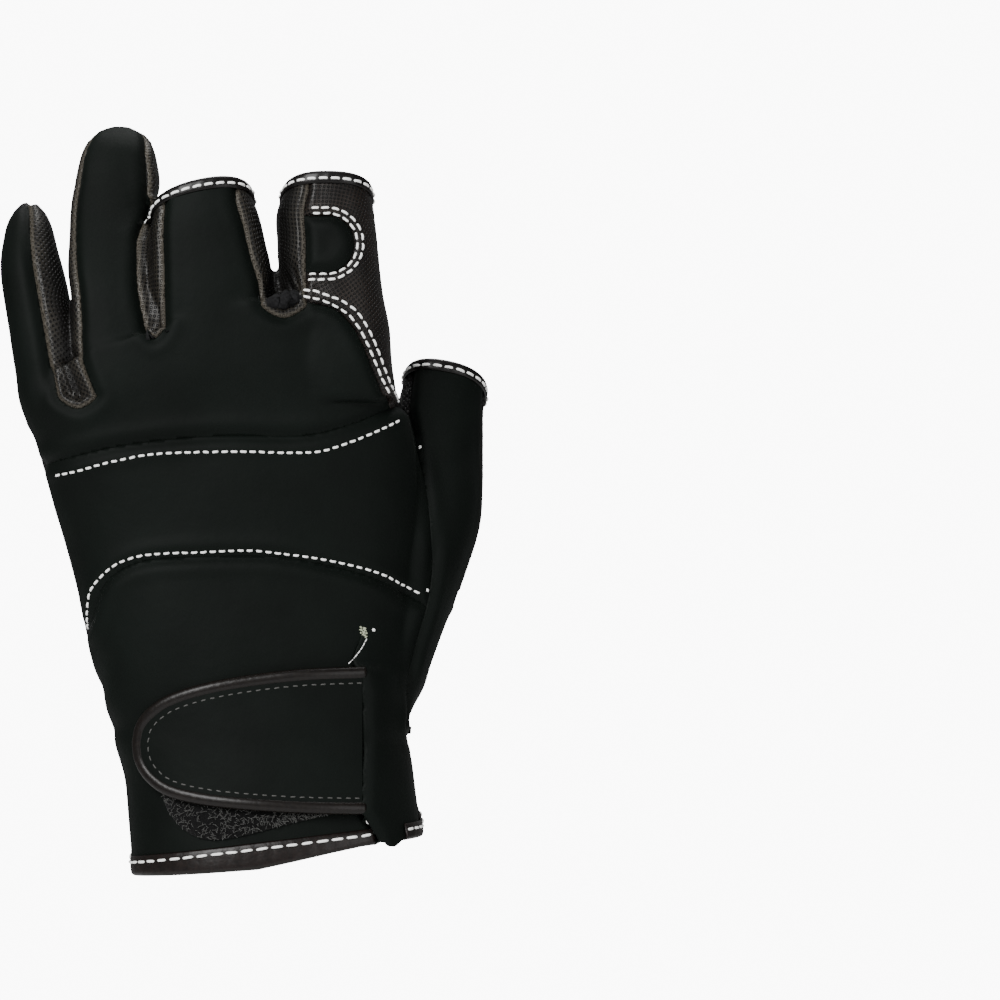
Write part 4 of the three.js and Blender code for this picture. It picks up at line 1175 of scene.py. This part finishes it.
# Points at a height above the back of the wrist that stand at x and z seen from the back
def onWrist(x, z, height):
    height = np.broadcast_to(np.asarray(height, float), np.shape(x))
    footX, footZ = x, z
    for _ in range(5):
        slopeX = wristDepthAt(footX + 0.5, footZ) - wristDepthAt(footX - 0.5, footZ)
        slopeZ = wristDepthAt(footX, footZ + 0.5) - wristDepthAt(footX, footZ - 0.5)
        normal = unit(np.stack([slopeX, -np.ones_like(slopeX), slopeZ], axis=-1))
        footX = 0.5 * (footX + x - normal[..., 0] * height)
        footZ = 0.5 * (footZ + z - normal[..., 2] * height)
    base = np.stack([footX, wristDepthAt(footX, footZ), footZ], axis=-1)
    return base + normal * height[..., None], normal


def edgeDistance(x, z, outline):
    flat = np.stack([x.ravel(), z.ravel()], axis=1)
    segments = zip(outline[:-1], outline[1:])
    return np.min([segmentDistance(flat, *ends)[0] for ends in segments], axis=0).reshape(x.shape)


# A grid of plan points in rows from a lower to an upper edge
def planGrid(x, low, high, rows):
    share = np.linspace(0, 1, rows)[:, None]
    return np.repeat(x[None, :], rows, 0), low[None, :] + (high - low)[None, :] * share


rimThickness = 0.35  # share of a sheet's thickness that its rim keeps


# A sheet over a grid of plan points, with its rim rounded off towards an outline
def layOnWrist(name, x, z, low, thick, edging, outline):
    rows, columns = x.shape
    distance = edgeDistance(x, z, outline)
    share = np.clip(distance / edging, 0, 1)
    rounding = np.sqrt(1 - (1 - share) ** 2)
    top, _ = onWrist(x, z, low + thick * (rimThickness + (1 - rimThickness) * rounding))
    bottom, _ = onWrist(x, z, low)
    faces = []
    count = rows * columns
    for i in range(rows - 1):
        for j in range(columns - 1):
            a, d = i * columns + j, (i + 1) * columns + j
            faces.append((a, a + 1, d + 1, d))
            faces.append((count + a, count + d, count + d + 1, count + a + 1))
    rim = ([(0, j) for j in range(columns)] + [(i, columns - 1) for i in range(1, rows)]
           + [(rows - 1, j) for j in range(columns - 2, -1, -1)] + [(i, 0) for i in range(rows - 2, 0, -1)])
    rim = [i * columns + j for i, j in rim]
    for a, b in zip(rim, rim[1:] + rim[:1]):
        faces.append((b, a, count + a, count + b))
    piece = makeMesh(name, np.vstack([top.reshape(-1, 3), bottom.reshape(-1, 3)]), faces)
    turnOutwards(piece)
    bpy.ops.object.shade_smooth_by_angle(angle=math.radians(50))
    return piece


# Smooth upper or lower edge of the tab in x and z
def tabEdge(column):
    rows = np.column_stack([
        tabNose + tabRows[:, 0] * tab["length"], tab["middle"] + tabRows[:, column] * tab["height"]])
    return smoothCurve(rows, 10)


upper, lower = tabEdge(1), tabEdge(2)
tabOutline = np.vstack([upper[::-1], lower])
along = np.linspace(0, 1, tab["columns"]) ** 1.5  # columns stand closer together at the round nose
x = tabNose + along * (tab["length"] + tab["tuck"])
grid = planGrid(x, lineAt(lower, x), lineAt(upper, x), tab["rows"])
piece = layOnWrist("closingTab", *grid, tab["low"], tab["thick"], tab["edging"], tabOutline)
finishPiece(piece, neoprene, node="strap_tab", slot="neoprene")

piping = {"wide": 1.75, "high": 1.55, "inset": 1.5, "sides": 24, "tuck": 2.4, "boxy": 0.9, "rise": 0.55}
outline = smoothCurve(tabOutline[::4], 3)
outline = outline[outline[:, 0] < tab["end"] + piping["tuck"]]
tangent = unit(np.gradient(outline, axis=0))
aside = np.column_stack([-tangent[:, 1], tangent[:, 0]])
tabCentre = np.array([tab["end"] - tab["length"] / 3, tab["middle"]])
aside *= np.sign(((tabCentre - outline) * aside).sum(1))[:, None]


# Points at a distance inside the tab's outline, at a height above the wrist
def besideTab(inset, height):
    line = outline + aside * inset
    return onWrist(line[:, 0], line[:, 1], height)


pipingHeight = tab["low"] + piping["rise"] * tab["thick"]
places, out = besideTab(piping["inset"], pipingHeight)
inner, _ = besideTab(piping["inset"] + 0.8, pipingHeight)
turns = anglesRound(piping["sides"])
section = np.column_stack([np.cos(turns), np.sin(turns)])
section = np.sign(section) * np.abs(section) ** piping["boxy"] * [piping["wide"], piping["high"]]
piece = sweepProfile("tabPiping", places, out, unit(inner - places), section, closed=False)
finishPiece(piece, pipingTape, node="tab_binding", slot="binding")

# Loop tape that shows below the tab: its lower edge as shares of the tab's length and height
patch = {"low": 0.1, "thick": 0.9, "edging": 0.9, "columns": 90, "rows": 40}
patchRows = np.array([
    (0.12, 0.2), (0.14, 0.42), (0.2, 0.57), (0.28, 0.655), (0.37, 0.68), (0.5, 0.65), (0.7, 0.57),
    (0.9, 0.5)])
patchLow = smoothCurve(np.column_stack([
    tabNose + patchRows[:, 0] * tab["length"], tab["middle"] - patchRows[:, 1] * tab["height"]]), 8)
x = np.linspace(patchLow[0, 0], patchLow[-1, 0], patch["columns"])
grid = planGrid(x, lineAt(patchLow, x), np.full(len(x), tab["middle"]), patch["rows"])
piece = layOnWrist("loopPatch", *grid, patch["low"], patch["thick"], patch["edging"], patchLow)
finishPiece(piece, loopTape, node="loop_patch", slot="loop_patch")

pile = {
    "count": 420, "stations": 6, "sides": 4, "radius": 0.075, "foot": 0.85, "edge": 0.3,
    "span": (0.7, 1.7), "rise": (0.35, 0.95)}


# Arcs of fine yarn that stand off the loop tape below the tab
def pileLoops():
    count, stations, sides = pile["count"], pile["stations"], pile["sides"]
    x = random.uniform(patchLow[0, 0] + 1, patchLow[-1, 0] - 2, count)
    foot = lineAt(patchLow, x)
    z = foot + pile["edge"] + (lineAt(lower, x) - foot) * random.uniform(0, 1, count)
    places, normals = onWrist(x, z, pile["foot"])
    heading = random.normal(size=(count, 3))
    heading = unit(heading - normals * (heading * normals).sum(1)[:, None])
    aside = np.cross(normals, heading)
    span = random.uniform(*pile["span"], count)[:, None]
    rise = random.uniform(*pile["rise"], count)[:, None]
    points, faces = [], []
    for share in np.linspace(0, 1, stations):
        line = places + heading * span * (share - 0.5) + normals * rise * math.sin(math.pi * share)
        for turn in anglesRound(sides):
            points.append(line + (aside * math.cos(turn) + normals * math.sin(turn)) * pile["radius"])
    points = np.array(points).reshape(stations, sides, count, 3).transpose(2, 0, 1, 3).reshape(-1, 3)
    for loop in range(count):
        faces.extend(tubeFaces(stations, sides, base=loop * stations * sides))
    piece = makeMesh("loopPile", points, faces)
    turnOutwards(piece)
    finishPiece(piece, loopYarn)


pileLoops()
print("tab and patch")


# Stitches

pixel = 0.27  # mm of the glove in one pixel of a 1000 pixel picture of its back
pictureOrigin = (275, 831)  # pixel of x 0 and z 0
# the palm shows smaller in the picture, with its tip at another pixel than the back's
palmPicture = {"tip": (720, 125), "backTip": (277, 127), "scale": 1.065}


# Picture places on the back to x and z
def plan(places):
    return (np.array(places, float) - pictureOrigin) * [pixel, -pixel]


# Picture places on the palm to x and z
def palmPlan(places):
    fromTip = (np.array(places, float) - palmPicture["tip"]) * palmPicture["scale"]
    return plan(fromTip + palmPicture["backTip"])


# Length of a path up to each of its points
def lengthsAlong(path):
    return np.concatenate([[0], np.cumsum(np.linalg.norm(np.diff(path, axis=0), axis=1))])


# Values of a path's points at other lengths along it
def readAlong(run, lengths, values):
    return np.column_stack([np.interp(run, lengths, column) for column in values.T])


casting = {"spacing": 0.25, "start": 200.0, "through": -12.0, "jump": 2.5}


# A plan curve cast onto the panels, with the normals there; facing is -1 for the back, 1 for the palm.
# It leaves out places that lie on the other side of the hand, and ends where it would jump over an edge
def layOnGlove(curve, facing):
    path = smoothCurve(curve, 10)
    lengths = lengthsAlong(path)
    places, normals = [], []
    for x, z in readAlong(np.arange(0, lengths[-1], casting["spacing"]), lengths, path):
        place, normal = castOn(outerTree, (x, casting["start"] * facing, z), (0, -facing, 0))
        if place is None or place[1] * facing < casting["through"]:
            continue
        if places and abs(place[1] - places[-1][1]) > casting["jump"]:
            break
        places.append(place)
        normals.append(normal * np.sign(normal[1] * facing))
    return np.array(places), smoothRing(np.array(normals), 4, closed=False)


sewing = {"stations": 9, "sides": 8, "sizes": (0.93, 1.05), "lean": 0.09, "sink": 0.2, "flatness": 0.85}


# Threads of one row of stitches along a path in space; each dips into the cloth at both ends
def sewRow(name, places, normals, stitch, cover, start=0.6):
    lengths = lengthsAlong(places)
    stations, sides = sewing["stations"], sewing["sides"]
    share = np.linspace(0, 1, stations)
    arch = np.sin(np.pi * share) ** 0.6
    radius = stitch["thick"] / 2 * np.sqrt(np.clip(1 - (2 * share - 1) ** 6, 0.12, 1))
    turns = anglesRound(sides)
    points, faces = [], []
    first = start
    while first + stitch["length"] < lengths[-1]:
        size = stitch["length"] * random.uniform(*sewing["sizes"])
        run = first + share * size
        line = readAlong(run, lengths, places)
        out = unit(readAlong(run, lengths, normals))
        side = unit(np.cross(unit(np.gradient(line, axis=0)), out))
        lean = random.uniform(-1, 1) * stitch.get("lean", sewing["lean"])
        line = line + out * (stitch["rise"] * arch - sewing["sink"])[:, None]
        line = line + side * (lean * (2 * share - 1))[:, None]
        faces.extend(tubeFaces(stations, sides, base=len(points) * sides))
        for k in range(stations):
            high = out[k] * np.sin(turns)[:, None] * radius[k] * sewing["flatness"]
            points.append(line[k] + high + side[k] * np.cos(turns)[:, None] * radius[k])
        first += stitch["pitch"]
    piece = makeMesh(name, np.vstack(points), faces)
    turnOutwards(piece)
    finishPiece(piece, cover)


bandStitch = {"pitch": 2.5, "length": 1.85, "thick": 0.66, "rise": 0.36}
doubleStitch = {"pitch": 2.75, "length": 2.2, "thick": 0.68, "rise": 0.38}
hemStitch = {"pitch": 3.2, "length": 2.7, "thick": 0.72, "rise": 0.36, "below": 1.35, "out": 0.62}
cuffStitch = {"pitch": 4.1, "length": 3.2, "thick": 0.72, "rise": 0.38, "below": 1.9, "out": 0.74}
palmStitch = {"pitch": 2.2, "length": 1.8, "thick": 0.52, "rise": 0.3}
tabStitch = {"pitch": 2.5, "length": 1.6, "thick": 0.34, "rise": 0.26, "beside": 0.9}

windowRows = {"outer": 1.95, "inner": 0.5}  # how far outside the window's edge each row runs


def windowRow(offset):
    row = windowOutline(offset)[1:-1]
    left = windowLeft + 0.4
    return np.vstack([[left, row[0, 1]], row, [left, row[-1, 1]]])


backRows = {
    "bandTopStitches": (bandStitch, [
        (55, 476), (80, 471), (105, 464), (128, 459), (150, 455), (179, 453), (223, 452), (255, 452),
        (287, 453), (319, 452), (338, 447), (360, 439), (383, 429), (403, 419)]),
    "bandBottomStitches": (bandStitch, [
        (88, 630), (88, 615), (89, 603), (92, 590), (102, 577), (118, 564), (140, 556), (166, 553),
        (198, 552), (249, 550), (281, 553), (319, 558), (357, 566), (383, 574), (402, 584),
        (423, 595)]),
    "sweepOuterStitches": (doubleStitch, [
        (302, 291), (316, 292), (330, 297), (343, 302), (356, 311), (365, 323), (373, 338), (381, 358),
        (389, 380), (397, 398), (400, 410)]),
    "sweepInnerStitches": (doubleStitch, [
        (302, 297), (315, 299), (328, 303), (340, 309), (351, 317), (360, 329), (368, 344), (376, 363),
        (384, 382), (391, 396)]),
}
for name, (stitch, places) in backRows.items():
    sewRow(name, *layOnGlove(plan(places), -1), stitch, thread)
for name, offset in windowRows.items():
    sewRow(name + "WindowStitches", *layOnGlove(windowRow(offset), -1), doubleStitch, thread)

palmRowsOfStitches = {
    "palmFirstStitches": [
        (508, 442), (566, 438), (608, 428), (646, 423), (692, 418), (717, 409), (741, 396), (759, 393),
        (787, 381), (818, 370), (845, 360)],
    "palmSecondStitches": [
        (522, 484), (555, 470), (597, 459), (646, 449), (696, 437), (727, 429), (755, 413), (769, 408),
        (776, 411), (815, 405), (845, 398)],
    "palmThirdStitches": [
        (535, 538), (555, 526), (590, 505), (632, 483), (674, 465), (717, 450), (759, 437), (783, 429),
        (801, 431), (822, 445), (850, 448)],
}
for name, places in palmRowsOfStitches.items():
    sewRow(name, *layOnGlove(palmPlan(places), 1), palmStitch, thread)

# Bar tack of the slit, loose thread ends and single stitches that lock the seams
tackStitch = {"pitch": 1.05, "length": 1.0, "thick": 0.46, "rise": 0.3}
lockStitch = {"pitch": 9.0, "length": 0.95, "thick": 0.85, "rise": 0.3}
endStitch = {"pitch": 1.32, "length": 1.4, "thick": 0.26, "rise": 0.3, "lean": 0.0}
barTack = [
    (360, 626), (367, 628), (360, 629), (367, 630), (361, 632), (368, 632), (363, 634), (368, 635),
    (365, 637), (368, 638)]
sewRow("barTack", *layOnGlove(plan(barTack), -1), tackStitch, tackThread, 0.1)
threadEnds = {
    "tackEnd": [(368, 637), (362, 648), (355, 657), (348, 664)],
    "flapEnd": [(367, 817), (370.5, 823), (374, 829), (377.5, 835), (381, 841)],
}
for name, places in threadEnds.items():
    sewRow(name, *layOnGlove(plan(places), -1), endStitch, thread, 0.1)
locks = {
    "slitLock": (plan([(372.5, 629), (378, 629.5)]), -1),
    "thumbLock": (plan([(427, 592), (428, 587)]), -1),
    "bandLock": (plan([(418, 448), (423.5, 445)]), -1),
    "ringLock": (palmPlan([(575, 408), (580, 408)]), 1),
    "middleLock": (palmPlan([(659, 378), (664, 378)]), 1),
    "thenarLock": (palmPlan([(737, 650), (737, 655)]), 1),
}
for name, (places, facing) in locks.items():
    sewRow(name, *layOnGlove(places, facing), lockStitch, thread, 0.1)

for name, (edge, out, up) in hemPaths.items():
    stitch = cuffStitch if name == "cuffHem" else hemStitch
    if name != "cuffHem":
        edge, out, up = (np.vstack([part, part[:1]]) for part in (edge, out, up))
    sewRow(name + "Stitches", edge - up * stitch["below"] + out * stitch["out"], out, stitch, thread)
places, out = besideTab(piping["inset"] + piping["wide"] + tabStitch["beside"], tab["low"] + tab["thick"])
sewRow("tabStitches", places, out, tabStitch, greyThread)
print("stitches")

bpy.data.objects.remove(form)
skin.free()


# Camera, light and floor, in metres

camera = {"target": (0.06075, 0, 0.0894), "distance": 2.4, "lens": 320}
lights = {
    "key": {"place": (-0.9, -1.5, 1.1), "target": (0, 0, 0.09), "power": 60, "size": 0.9},
    "fill": {"place": (1.1, -1.6, 0.3), "target": (0, 0, 0.09), "power": 15, "size": 1.2},
    "top": {"place": (0.1, 0.4, 1.4), "target": (0, 0, 0.1), "power": 16, "size": 0.8},
}
room = {"seen": 10.0, "lit": 0.2}  # brightness of the white room to the camera and on the glove
floor = {"radius": 1.2, "height": -0.3}


def aimAt(thing, place, target):
    thing.location = Vector(place)
    thing.rotation_euler = (Vector(target) - Vector(place)).to_track_quat("-Z", "Y").to_euler()


def setCamera():
    data = bpy.data.cameras.new("camera")
    data.sensor_width = 36
    data.lens = camera["lens"]
    data.clip_end = 20
    holder = bpy.data.objects.new("camera", data)
    bpy.context.scene.collection.objects.link(holder)
    x, y, z = camera["target"]
    aimAt(holder, (x, y - camera["distance"], z), (x, y, z))
    bpy.context.scene.camera = holder


def addLight(name, light):
    data = bpy.data.lights.new(name, "AREA")
    data.energy = light["power"]
    data.size = light["size"]
    holder = bpy.data.objects.new(name, data)
    bpy.context.scene.collection.objects.link(holder)
    aimAt(holder, light["place"], light["target"])


def setWorld():
    world = bpy.data.worlds.new("studio")
    bpy.context.scene.world = world
    world.use_nodes = True
    tree = world.node_tree
    tree.nodes.clear()
    path = addNode(tree, "LightPath").outputs["Is Camera Ray"]
    white = (1, 1, 1, 1)
    lit = addNode(tree, "Background", Color=white, Strength=room["lit"]).outputs[0]
    seen = addNode(tree, "Background", Color=white, Strength=room["seen"]).outputs[0]
    mixed = addNode(tree, "MixShader", _0=path, _1=lit, _2=seen)
    addNode(tree, "OutputWorld", Surface=mixed.outputs[0])


def setFloor():
    bpy.ops.mesh.primitive_circle_add(
        vertices=96, radius=floor["radius"], fill_type="NGON", location=(0, 0, floor["height"]))
    paper = bpy.context.active_object
    paper.name = "paleFloor"
    material, tree, shader = newMaterial("pale paper")
    setInputs(shader, Base_Color=colour("#f4f4f4"), Roughness=0.9)
    paper.data.materials.append(material)
    bpy.ops.object.transform_apply(location=True)


setCamera()
for name, light in lights.items():
    addLight(name, light)
setWorld()
setFloor()
print("camera and light")
